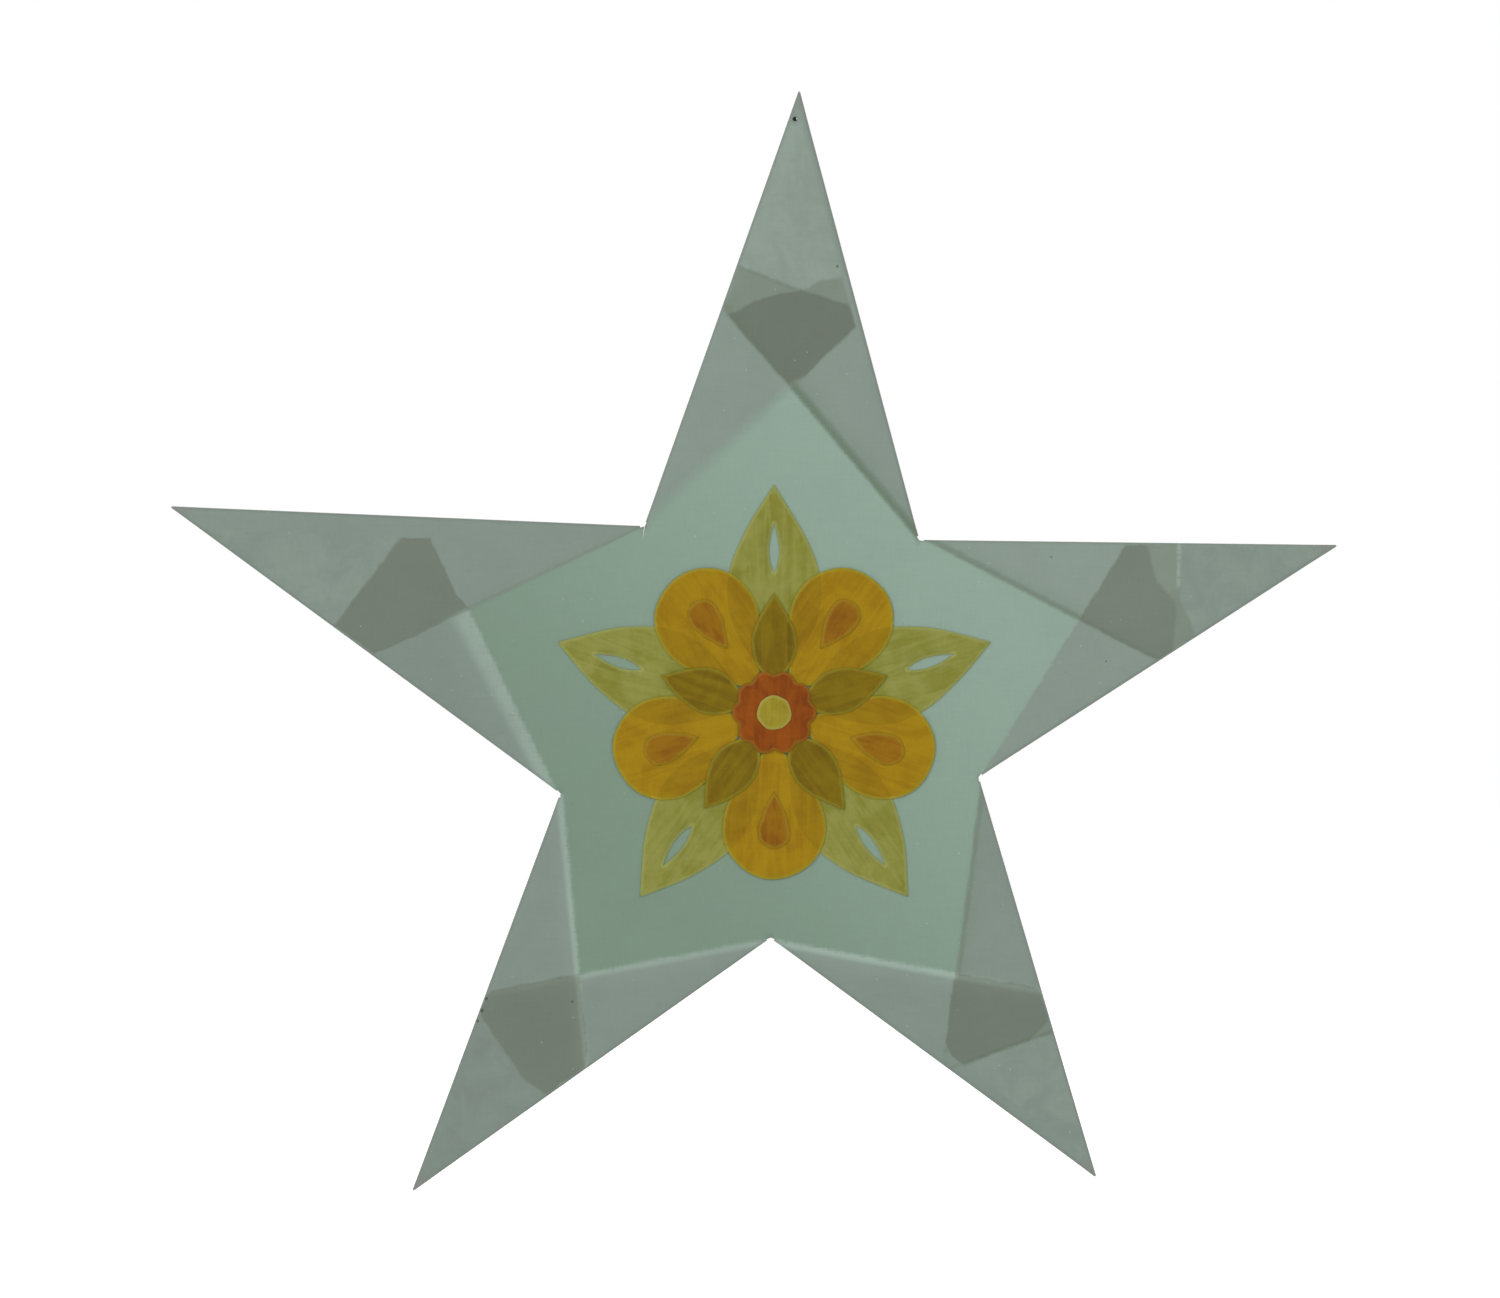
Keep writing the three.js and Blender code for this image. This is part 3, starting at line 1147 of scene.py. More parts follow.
    def place_in_mm(self) -> Socket:
        """Returns the position on the object in millimetres."""
        return self.times(self.node("ShaderNodeTexCoord").outputs["Object"], 1 / MM)


class EffectGroup:
    """A shader node group, built once and placed in many materials."""

    name = ""
    inputs: tuple[tuple[str, str, Value], ...] = ()
    outputs: tuple[tuple[str, str], ...] = ()

    def tree(self) -> bpy.types.NodeTree:
        """Finds the group's node tree, and builds it the first time.

        Returns:
            The tree.
        """
        known = bpy.data.node_groups.get(self.name)
        if known:
            return known
        tree = bpy.data.node_groups.new(self.name, "ShaderNodeTree")
        for name, kind, value in self.inputs:
            socket = tree.interface.new_socket(name, in_out="INPUT", socket_type=kind)
            if value is not None:
                socket.default_value = value
        for name, kind in self.outputs:
            tree.interface.new_socket(name, in_out="OUTPUT", socket_type=kind)
        graph = Graph(tree)
        results = self.build(graph, graph.node("NodeGroupInput").outputs)
        graph.node("NodeGroupOutput", results)
        return tree

    def build(self, graph: Graph, given: Value) -> dict[str, Socket]:
        """Builds the group's nodes and returns its output sockets by name."""
        raise NotImplementedError

    def place(self, graph: Graph, **values: Value) -> bpy.types.NodeOutputs:
        """Puts the group in a material.

        Args:
            graph: The material's graph.
            **values: Values or sockets for the group's inputs; an underscore stands for a space.

        Returns:
            The group node's outputs.
        """
        inputs = {name.replace("_", " "): value for name, value in values.items()}
        return graph.node("ShaderNodeGroup", inputs, node_tree=self.tree()).outputs


FLOAT = "NodeSocketFloat"
VECTOR = "NodeSocketVector"


class PaperFibre(EffectGroup):
    """Thin paper's cloudiness, fibres and flecks, from a position in millimetres."""

    name = "PaperFibre"
    inputs = (("Position", VECTOR, None), ("Grain", FLOAT, 1.0))
    outputs = (("Cloud", FLOAT), ("Fibre", FLOAT), ("Pale Fleck", FLOAT), ("Dark Fleck", FLOAT),
               ("Height", FLOAT))
    cloud: Noise = (0.09, 4.0, 0.55, 0.4)
    across_stretch = (0.25, 1.0, 2.4)
    across: Noise = (0.9, 3.0, 0.6, 0.3)
    upright_stretch = (2.2, 1.0, 0.3)
    upright: Noise = (1.1, 3.0, 0.6, 0.3)
    fine: Noise = (3.2, 2.0, 0.6)
    fine_height = 0.5
    pale_spots = (0.55, 0.1, 0.22)
    dark_spots = (0.34, 0.07, 0.16)
    dark_offset = (31.0, 7.0, 53.0)

    def build(self, graph: Graph, given: Value) -> dict[str, Socket]:
        """Builds the group.

        Args:
            graph: The group's graph.
            given: Its inputs.

        Returns:
            Its outputs by name.
        """
        place = graph.times(given["Position"], given["Grain"])
        cloud = graph.noise(place, *self.cloud)
        across = graph.noise(graph.scaled(place, self.across_stretch), *self.across)
        upright = graph.noise(graph.scaled(place, self.upright_stretch), *self.upright)
        fine = graph.noise(place, *self.fine)
        fibre = graph.sum(graph.product(across, 0.5), graph.product(upright, 0.5))
        pale = graph.spots(place, *self.pale_spots)
        dark = graph.spots(graph.vector("ADD", place, self.dark_offset), *self.dark_spots)
        height = graph.sum(graph.product(fine, self.fine_height), fibre)
        return {"Cloud": cloud, "Fibre": fibre, "Pale Fleck": pale, "Dark Fleck": dark, "Height": height}


class LayerCount(EffectGroup):
    """Counts the paper layers from the depths inside an arm's two flaps and their hems."""

    name = "LayerCount"
    inputs = (("Flap Depth", VECTOR, None), ("Hem Depth", VECTOR, None), ("Fold Blur", VECTOR, None),
              ("Wander", FLOAT, 0.0))
    outputs = (("Flaps", FLOAT), ("Hems", FLOAT), ("Both", FLOAT))
    hem_blur = 0.35
    blur_outside = 0.6

    def build(self, graph: Graph, given: Value) -> dict[str, Socket]:
        """Builds the group.

        Args:
            graph: The group's graph.
            given: Its inputs.

        Returns:
            Its outputs by name.
        """
        fold, hem = graph.parts(given["Flap Depth"]), graph.parts(given["Hem Depth"])
        blur = graph.parts(given["Fold Blur"])
        flaps, hems = [], []
        for i in (0, 1):
            outside = graph.product(blur[i], -self.blur_outside)
            flaps.append(graph.smooth(graph.sum(fold[i], given["Wander"]), outside, blur[i]))
            end = graph.smooth(graph.sum(hem[i], given["Wander"]), -self.hem_blur, self.hem_blur)
            hems.append(graph.product(flaps[i], end))
        return {"Flaps": graph.math("MAXIMUM", *flaps), "Both": graph.product(*flaps),
                "Hems": graph.sum(*hems)}


class FoldLight(EffectGroup):
    """The light or shadow along one hem fold: sharp towards the window and soft towards the strip."""

    name = "FoldLight"
    inputs = (("Depth", FLOAT, 0.0), ("Other Depth", FLOAT, 0.0), ("Width", FLOAT, 1.0), ("Past", FLOAT, 0.0),
              ("Ragged", FLOAT, 0.5))
    outputs = (("Mask", FLOAT),)
    unevenness = 1.3
    line: Step = (0.28, 1.0, 1.0, 0.0)
    tail: Step = (0.3, 2.4, 0.2, 0.0)
    start: Step = (-0.45, 0.55)
    gaps: Step = (0.34, 0.5, 0.72, 1.0)
    crossing: Step = (-0.4, 1.0, 1.0)

    def build(self, graph: Graph, given: Value) -> dict[str, Socket]:
        """Builds the group.

        Args:
            graph: The group's graph.
            given: Its inputs.

        Returns:
            Its outputs by name.
        """
        uneven = graph.less(given["Ragged"], 0.5)
        depth = graph.sum(given["Depth"], graph.product(uneven, self.unevenness))
        share = graph.math("DIVIDE", depth, given["Width"])
        line, tail = graph.smooth(share, *self.line), graph.smooth(share, *self.tail)
        mask = graph.product(graph.math("MAXIMUM", line, tail), graph.smooth(depth, *self.start))
        gaps = graph.smooth(given["Ragged"], *self.gaps)
        fade = graph.smooth(given["Other Depth"], *self.crossing, given["Past"])
        return {"Mask": graph.product(graph.product(mask, gaps), fade)}


class PaintedHemEndLine(EffectGroup):
    """The thin, broken painted line, bright or dark by its level, where a hem's cut end lies against the next
    layer.
    """

    name = "PaintedHemEndLine"
    inputs = (("Depth", FLOAT, 0.0), ("Cover", FLOAT, 0.0), ("Ragged", FLOAT, 0.5))
    outputs = (("Mask", FLOAT),)
    drawn_in = 0.15
    line: Step = (0.1, 0.6, 1.0, 0.0)
    under: Step = (0.0, 0.4)
    gaps: Step = (0.4, 0.55, 0.35, 1.0)

    def build(self, graph: Graph, given: Value) -> dict[str, Socket]:
        """Builds the group.

        Args:
            graph: The group's graph.
            given: Its inputs.

        Returns:
            Its outputs by name.
        """
        depth = graph.math("ABSOLUTE", graph.less(given["Depth"], self.drawn_in))
        line, under = graph.smooth(depth, *self.line), graph.smooth(given["Cover"], *self.under)
        gaps = graph.smooth(given["Ragged"], *self.gaps)
        return {"Mask": graph.product(graph.product(line, under), gaps)}


class EdgeWear(EffectGroup):
    """The pale, slightly frayed rim that cut or creased paper shows, from the distance to the edge."""

    name = "EdgeWear"
    inputs = (("Distance", FLOAT, 0.0), ("Width", FLOAT, 0.5), ("Position", VECTOR, None))
    outputs = (("Mask", FLOAT),)
    fray: Noise = (1.7, 3.0, 0.65)
    fade: Step = (0.1, 1.0, 1.0, 0.0)

    def build(self, graph: Graph, given: Value) -> dict[str, Socket]:
        """Builds the group.

        Args:
            graph: The group's graph.
            given: Its inputs.

        Returns:
            Its outputs by name.
        """
        fray = graph.sum(graph.noise(given["Position"], *self.fray), 0.5)
        share = graph.math("DIVIDE", given["Distance"], graph.product(given["Width"], fray))
        return {"Mask": graph.smooth(share, *self.fade)}


def srgb(red: int, green: int, blue: int) -> Colour:
    """Turns a screen colour into a linear one.

    Args:
        red: Red, 0 to 255.
        green: Green, 0 to 255.
        blue: Blue, 0 to 255.

    Returns:
        The linear colour.
    """
    def linear(level: int) -> float:
        """Turns one level into linear light."""
        value = level / 255
        return value / 12.92 if value <= 0.04045 else ((value + 0.055) / 1.055) ** 2.4
    return (linear(red), linear(green), linear(blue))


# Finishes

def new_material(name: str) -> tuple[bpy.types.Material, Graph, bpy.types.Node]:
    """Makes a material.

    Args:
        name: Its name.

    Returns:
        The material, its graph and its Principled shader.
    """
    material = bpy.data.materials.new(name)
    material.use_nodes = True
    graph = Graph(material.node_tree)
    return material, graph, graph.find("BSDF_PRINCIPLED")


def set_bump(graph: Graph, shader: bpy.types.Node, height: Value, strength: float, depth: float) -> None:
    """Feeds a height through a Bump node into a shader's normal; depth is in millimetres."""
    bump = graph.node("ShaderNodeBump", {"Strength": strength, "Distance": depth * MM, "Height": height})
    graph.link(bump.outputs[0], shader.inputs["Normal"])


@dataclass(frozen=True)
class TransparentPaper:
    """The sheet's own paper, with painted shade for each layer that lies behind and painted light on hem folds.

    Tones multiply the paper's colour. Bump is a strength and a depth in millimetres, and each speck has
    its place and its radius in millimetres. The depth of the hole and of a speck is how dark it is:
    the hole's dark dot is painted shade, and a speck is a dark fleck in the paper.
    """

    # The window is painted darker and greener towards the lower left: partly a green wash, partly painted
    # shade.
    window_light: Colour = srgb(144, 169, 154)
    window_deep: Colour = srgb(121, 145, 126)
    # Painted shade for the layers behind the front: a strip over one flap, the tip over both, a sliver over a
    # hem as well, and the dark patch over both hems.
    strip: Colour = srgb(132, 147, 137)
    tip: Colour = srgb(131, 145, 135)
    sliver: Colour = srgb(124, 136, 124)
    dark: Colour = srgb(112, 122, 110)
    # Painted highlight and painted shadow of the hem folds and hem ends; the pale and dark flecks use the same
    # colours.
    glow: Colour = srgb(180, 203, 189)
    shadow: Colour = srgb(92, 113, 87)
    rim: Colour = srgb(120, 128, 120)
    soiled: Colour = srgb(134, 137, 132)
    # Painted shade of the pricked hole, drawn on every layer; the dark specks in the paper use it too.
    hole_shade_and_speck: Colour = srgb(12, 14, 12)
    alpha: float = 0.92
    roughness: Step = (0.2, 0.8, 0.52, 0.64)
    specular: float = 0.35
    sheen: float = 0.05
    bump: Pair = (0.25, 0.12)
    deep_towards: Point = (-0.75, -0.65)
    wash_and_shade_reach: float = 46.0
    wash_and_shade_cloud: float = 30.0
    edge_wander: Noise = (0.3, 3.0, 0.6)
    edge_wander_reach: float = 1.1
    blotches: Noise = (0.17, 4.0, 0.62, 0.9)
    blotch_tone: Step = (0.32, 0.68, 0.95, 1.05)
    mottle_tone: Step = (0.3, 0.7, 0.975, 1.025)
    cloud_tone: Step = (0.25, 0.75, 0.965, 1.035)
    facing_back: Step = (0.2, 0.6)
    show_through: float = 0.6
    rim_width: float = 0.6
    rim_share: float = 0.35
    soiled_reach: Step = (1.0, 5.0, 0.75, 0.0)
    pale_fleck: float = 0.45
    dark_fleck: float = 0.4
    prick_edge: Pair = (0.7, 1.3)
    hole_shade_depth: float = 0.85
    speck_depth: float = 0.6
    specks: tuple[Triple, ...] = (
        (7.6, -26.4, 0.24), (55.8, -97.2, 0.16), (-39.9, -158.2, 0.2), (46.0, -78.5, 0.15),
        (-55.3, -157.7, 0.28), (-56.1, -159.8, 0.34), (-56.9, -161.7, 0.28))

    def wash_and_shade(self, graph: Graph, layout: StarLayout, place: Value, fibre: Value) -> Socket:
        """Works out how deep the window's green wash and its painted shade are: deepest at the lower left.

        Args:
            graph: The material's graph.
            layout: The star's layout.
            place: Position in millimetres.
            fibre: Outputs of the fibre effect.

        Returns:
            The socket of the depth, 0 to 1.
        """
        parts = graph.parts(place)
        right = graph.product(graph.less(parts[0], layout.middle[0]), self.deep_towards[0])
        up = graph.product(graph.less(parts[2], layout.middle[1]), self.deep_towards[1])
        cloudy = graph.product(graph.less(fibre["Cloud"], 0.5), self.wash_and_shade_cloud)
        depth = graph.sum(graph.sum(right, up), cloudy)
        return graph.smooth(depth, -self.wash_and_shade_reach, self.wash_and_shade_reach)

    def base_colour(self, graph: Graph, layout: StarLayout, place: Value, fibre: Value) -> Socket:
        """Builds the colour of the layers, with painted shade for each layer behind the front, before any line
        or fleck.

        Args:
            graph: The material's graph.
            layout: The star's layout.
            place: Position in millimetres.
            fibre: Outputs of the fibre effect.

        Returns:
            The colour's socket.
        """
        wander = graph.less(graph.noise(place, *self.edge_wander), 0.5)
        count = LayerCount().place(graph, Flap_Depth=graph.attribute("flap_depth"),
                                   Hem_Depth=graph.attribute("hem_depth"),
                                   Fold_Blur=graph.attribute("fold_blur"),
                                   Wander=graph.product(wander, self.edge_wander_reach))
        tones = graph.parts(graph.attribute("arm_tone"))
        blotch = graph.smooth(graph.noise(place, *self.blotches), *self.blotch_tone)
        colour = graph.mix(self.wash_and_shade(graph, layout, place, fibre), self.window_light, self.window_deep)
        # Painted shade: each layer that lies behind the front darkens the colour, as the strip, the tip, a
        # sliver and the dark patch.
        colour = graph.mix(count["Flaps"], colour, graph.times(self.strip, tones[0]))
        tip = graph.product(tones[1], blotch)
        colour = graph.mix(count["Both"], colour, graph.times(self.tip, tip))
        one_hem = graph.node("ShaderNodeClamp", {0: count["Hems"]}).outputs[0]
        two_hems = graph.node("ShaderNodeClamp", {0: graph.less(count["Hems"], 1.0)}).outputs[0]
        for hems, paper, tone in ((one_hem, self.sliver, tones[0]), (two_hems, self.dark, tones[2])):
            colour = graph.lay(colour, graph.times(paper, tone), count["Both"], hems)
        return colour

    def with_fold_light(self, graph: Graph, colour: Value, fibre: Value) -> Socket:
        """Adds the painted bright lines and shadows along the hem folds and the hem ends.

        Args:
            graph: The material's graph.
            colour: The colour so far.
            fibre: Outputs of the fibre effect.

        Returns:
            The colour's socket.
        """
        depth, glow, width, past, hem, cover, line = (graph.parts(graph.attribute(name)) for name in (
            "fold_depth", "fold_glow", "fold_width", "fold_past", "hem_depth", "flap_depth", "fold_end_line"))
        for own, other in ((0, 1), (1, 0)):
            light = FoldLight().place(graph, Depth=depth[own], Other_Depth=depth[other], Width=width[own],
                                      Past=past[own], Ragged=fibre["Fibre"])
            end = PaintedHemEndLine().place(graph, Depth=hem[own], Cover=cover[own], Ragged=fibre["Fibre"])
            for level, mask in ((glow[own], light["Mask"]), (line[own], end["Mask"])):
                signed = graph.product(level, mask)
                colour = graph.mix(graph.math("MAXIMUM", signed, 0.0), colour, self.glow)
                darken = graph.math("MAXIMUM", graph.product(signed, -1.0), 0.0)
                colour = graph.mix(darken, colour, self.shadow)
        return colour

    def with_wear_and_hole_shade(self, graph: Graph, colour: Value, place: Value, fibre: Value) -> Socket:
        """Adds the creased rim, the soiled end of the top tip, the flecks and the pricked hole's painted shade.

        Args:
            graph: The material's graph.
            colour: The colour so far.
            place: Position in millimetres.
            fibre: Outputs of the fibre effect.

        Returns:
            The colour's socket.
        """
        edge = graph.parts(graph.attribute("fold_depth"))[2]
        wear = EdgeWear().place(graph, Distance=edge, Width=self.rim_width, Position=place)
        colour = graph.lay(colour, self.rim, wear["Mask"], self.rim_share)
        to_tip = graph.parts(graph.attribute("hem_depth"))[2]
        colour = graph.mix(graph.smooth(to_tip, *self.soiled_reach), colour, self.soiled)
        colour = graph.lay(colour, self.glow, fibre["Pale Fleck"], self.pale_fleck)
        colour = graph.lay(colour, self.shadow, fibre["Dark Fleck"], self.dark_fleck)
        # The hole's dark dot is painted shade on every layer; the other specks are dark flecks in the paper.
        for x, z, radius in ((0.0, 0.0, HOLE_RADIUS), *self.specks):
            away = graph.scaled(graph.vector("SUBTRACT", place, (x, 0.0, z)), (1.0, 0.0, 1.0))
            depth = self.speck_depth if x or z else self.hole_shade_depth
            low, high = (radius * share for share in self.prick_edge)
            mark = graph.smooth(graph.vector_length(away), low, high, depth, 0.0)
            colour = graph.mix(mark, colour, self.hole_shade_and_speck)
        return colour

    def material(self, layout: StarLayout) -> bpy.types.Material:
        """Makes the material.

        Args:
            layout: The star's layout.

        Returns:
            The material.
        """
        material, graph, shader = new_material("transparent_paper")
        place = graph.place_in_mm()
        fibre = PaperFibre().place(graph, Position=place, Grain=1.0)
        colour = self.with_fold_light(graph, self.base_colour(graph, layout, place, fibre), fibre)
        mottle = graph.smooth(fibre["Fibre"], *self.mottle_tone)
        cloud = graph.smooth(fibre["Cloud"], *self.cloud_tone)
        colour = graph.times(colour, graph.product(mottle, cloud))
        tint = graph.node("ShaderNodeAttribute", attribute_name="show_through")
        normal = graph.parts(graph.node("ShaderNodeNewGeometry").outputs["Normal"])[1]
        behind = graph.product(graph.smooth(normal, *self.facing_back), tint.outputs["Alpha"])
        colour = graph.lay(colour, tint.outputs["Color"], behind, self.show_through)
        colour = self.with_wear_and_hole_shade(graph, colour, place, fibre)
        graph.link(colour, shader.inputs["Base Color"])
        shader.inputs["Alpha"].default_value = self.alpha
        graph.link(graph.smooth(fibre["Cloud"], *self.roughness), shader.inputs["Roughness"])
        shader.inputs["Specular IOR Level"].default_value = self.specular
        shader.inputs["Sheen Weight"].default_value = self.sheen
        set_bump(graph, shader, fibre["Height"], *self.bump)
        return material


@dataclass(frozen=True)
class ColouredPaper:
    """Coloured transparent paper, rubbed with colour in strokes that run along each piece.

    Stroke is the share of the strokes against the wider pools of colour, and overlap tone is what each
    piece below does to the colour.
    """

    slot: str
    base: Colour
    deep: Colour
    rim: Colour
    alpha: float = 0.98
    roughness: Step = (0.3, 0.7, 0.43, 0.57)
    specular: float = 0.14
    bump: Pair = (0.3, 0.12)
    grain: float = 1.25
    grain_tone: Step = (0.3, 0.7, 0.95, 1.05)
    stroke: float = 0.45
    stroke_stretch: Triple = (0.9, 0.09, 0.0)
    strokes: Noise = (1.0, 4.0, 0.6, 0.5)
    pool_offset: Triple = (11.0, 3.0, 5.0)
    pools: Noise = (0.16, 3.0, 0.6, 0.8)
    depth: Step = (0.38, 0.66)
    overlap_tone: float = 0.86
    rim_width: float = 0.7
    rim_share: float = 0.75
    dark_fleck: float = 0.45
    pale_fleck: float = 0.3

    def material(self) -> bpy.types.Material:
        """Makes the material.

        Returns:
            The material.
        """
        material, graph, shader = new_material(self.slot)
        place = graph.place_in_mm()
        fibre = PaperFibre().place(graph, Position=place, Grain=self.grain)
        own = graph.attribute("piece_place")
        strokes = graph.noise(graph.scaled(own, self.stroke_stretch), *self.strokes)
        pools = graph.noise(graph.vector("ADD", place, self.pool_offset), *self.pools)
        share = graph.sum(graph.product(strokes, self.stroke), graph.product(pools, 1.0 - self.stroke))
        colour = graph.mix(graph.smooth(share, *self.depth), self.base, self.deep)
        grain = graph.smooth(fibre["Fibre"], *self.grain_tone)
        under = graph.parts(graph.attribute("piece_under"))[0]
        overlap = graph.math("POWER", self.overlap_tone, under)
        colour = graph.times(colour, graph.product(grain, overlap))
        wear = EdgeWear().place(graph, Distance=graph.parts(own)[2], Width=self.rim_width, Position=place)
        colour = graph.lay(colour, self.rim, wear["Mask"], self.rim_share)
        colour = graph.lay(colour, self.deep, fibre["Dark Fleck"], self.dark_fleck)
        colour = graph.lay(colour, self.rim, fibre["Pale Fleck"], self.pale_fleck)
        graph.link(colour, shader.inputs["Base Color"])
        graph.link(graph.smooth(strokes, *self.roughness), shader.inputs["Roughness"])
        shader.inputs["Alpha"].default_value = self.alpha
        shader.inputs["Specular IOR Level"].default_value = self.specular
        set_bump(graph, shader, graph.sum(fibre["Height"], strokes), *self.bump)
        return material


@dataclass(frozen=True)
class DriedPaste:
    """Flour paste that dried between two layers: cloudy, cracked and slightly glossy."""

    base: Colour = srgb(120, 129, 118)
    pale: Colour = srgb(158, 163, 150)
    roughness: float = 0.42
    cloud: Noise = (0.5, 4.0, 0.6, 0.6)
    cloud_depth: Step = (0.35, 0.65)
    crack_scale: float = 0.8
    crack_width: float = 0.06
    crack_share: float = 0.4
    bump: Pair = (0.4, 0.1)

    def material(self) -> bpy.types.Material:
        """Makes the material.

        Returns:
            The material.
        """
        material, graph, shader = new_material("dried_paste")
        place = graph.place_in_mm()
        cloud = graph.noise(place, *self.cloud)
        cells = graph.node("ShaderNodeTexVoronoi", {"Vector": place, "Scale": self.crack_scale},
                           feature="DISTANCE_TO_EDGE")
        crack = graph.smooth(cells.outputs["Distance"], 0.0, self.crack_width, 1.0, 0.0)
        colour = graph.mix(graph.smooth(cloud, *self.cloud_depth), self.base, self.pale)
        colour = graph.lay(colour, self.base, crack, self.crack_share)
        graph.link(colour, shader.inputs["Base Color"])
        shader.inputs["Roughness"].default_value = self.roughness
        set_bump(graph, shader, graph.less(cloud, crack), *self.bump)
        return material


# The coloured rosette

@dataclass(frozen=True)
class Rosette:
    """Sizes of the cut-paper rosette, in millimetres, with the same driving sizes as the solids.

    A leaf or petal has its inner end, its outer end and half its width.
    """

    right: float = 2.0
    down: float = 2.0
    leaf: Triple = (6.0, 41.0, 8.6)
    vein: Triple = (25.0, 34.0, 0.9)
    petal: Triple = (5.0, 30.0, 9.4)
    olive: Triple = (5.0, 21.5, 4.2)
    drop: Triple = (14.0, 24.5, 2.9)
    heart_radius: float = 7.6
    heart_scallop: float = 0.9
    heart_scallops: int = 10
    button_radius: float = 3.2
    button_sides: int = 40
    leaf_fullness: float = 0.85
    steps: int = 26
    vein_steps: int = 10


def mirrored(right: Sequence[Point]) -> list[Point]:
    """Mirrors the right-hand side of an outline, listed from the bottom up, onto the left."""
    return [*right, *[(-x, z) for x, z in reversed(right) if x > NEAR_ZERO]]


def leaf_outline(inner: float, outer: float, half_width: float, fullness: float, steps: int) -> list[Point]:
    """Shapes a leaf that points up, pointed at both ends and widest below its middle.

    Args:
        inner: Height of its lower end.
        outer: Height of its upper end.
        half_width: Half its width.
        fullness: How low its widest place is: below 1 is lower.
        steps: Steps up one side.

    Returns:
        The outline.
    """
    right = []
    for i in range(steps + 1):
        share = i / steps
        bulge = 0.0 if i in (0, steps) else math.sin(math.pi * share ** fullness)
        right.append((half_width * bulge, inner + (outer - inner) * share))
    return mirrored(right)


def petal_outline(inner: float, outer: float, half_width: float, steps: int) -> list[Point]:
    """Shapes a petal that points up, pointed at its lower end and round at its outer one.

    Args:
        inner: Height of its lower end.
        outer: Height of its outer end.
        half_width: Half its width.
        steps: Steps to its shoulder, and on to its end.

    Returns:
        The outline.
    """
    shoulder = outer - half_width
    right = []
    for i in range(steps):
        share = i / steps
        right.append((half_width * math.sin(share * math.pi / 2), inner + (shoulder - inner) * share))
    for i in range(steps):
        angle = math.pi / 2 * i / steps
        right.append((half_width * math.cos(angle), shoulder + half_width * math.sin(angle)))
    right.append((0.0, outer))
    return mirrored(right)


def scalloped_outline(radius: float, depth: float, count: int, steps_each: int = 8) -> list[Point]:
    """Shapes a disc whose edge is cut into equal round scallops.

    Args:
        radius: Radius to a scallop's crest.
        depth: Depth of the dips.
        count: Number of scallops.
        steps_each: Steps along each one.

    Returns:
        The outline.
    """
    steps = steps_each * count
    outline = []
    for i in range(steps):
        dip = 1 - abs(math.sin(i / steps * count * math.pi))
        outline.append(polar(radius - depth * dip, FULL_TURN * i / steps))
    return outline


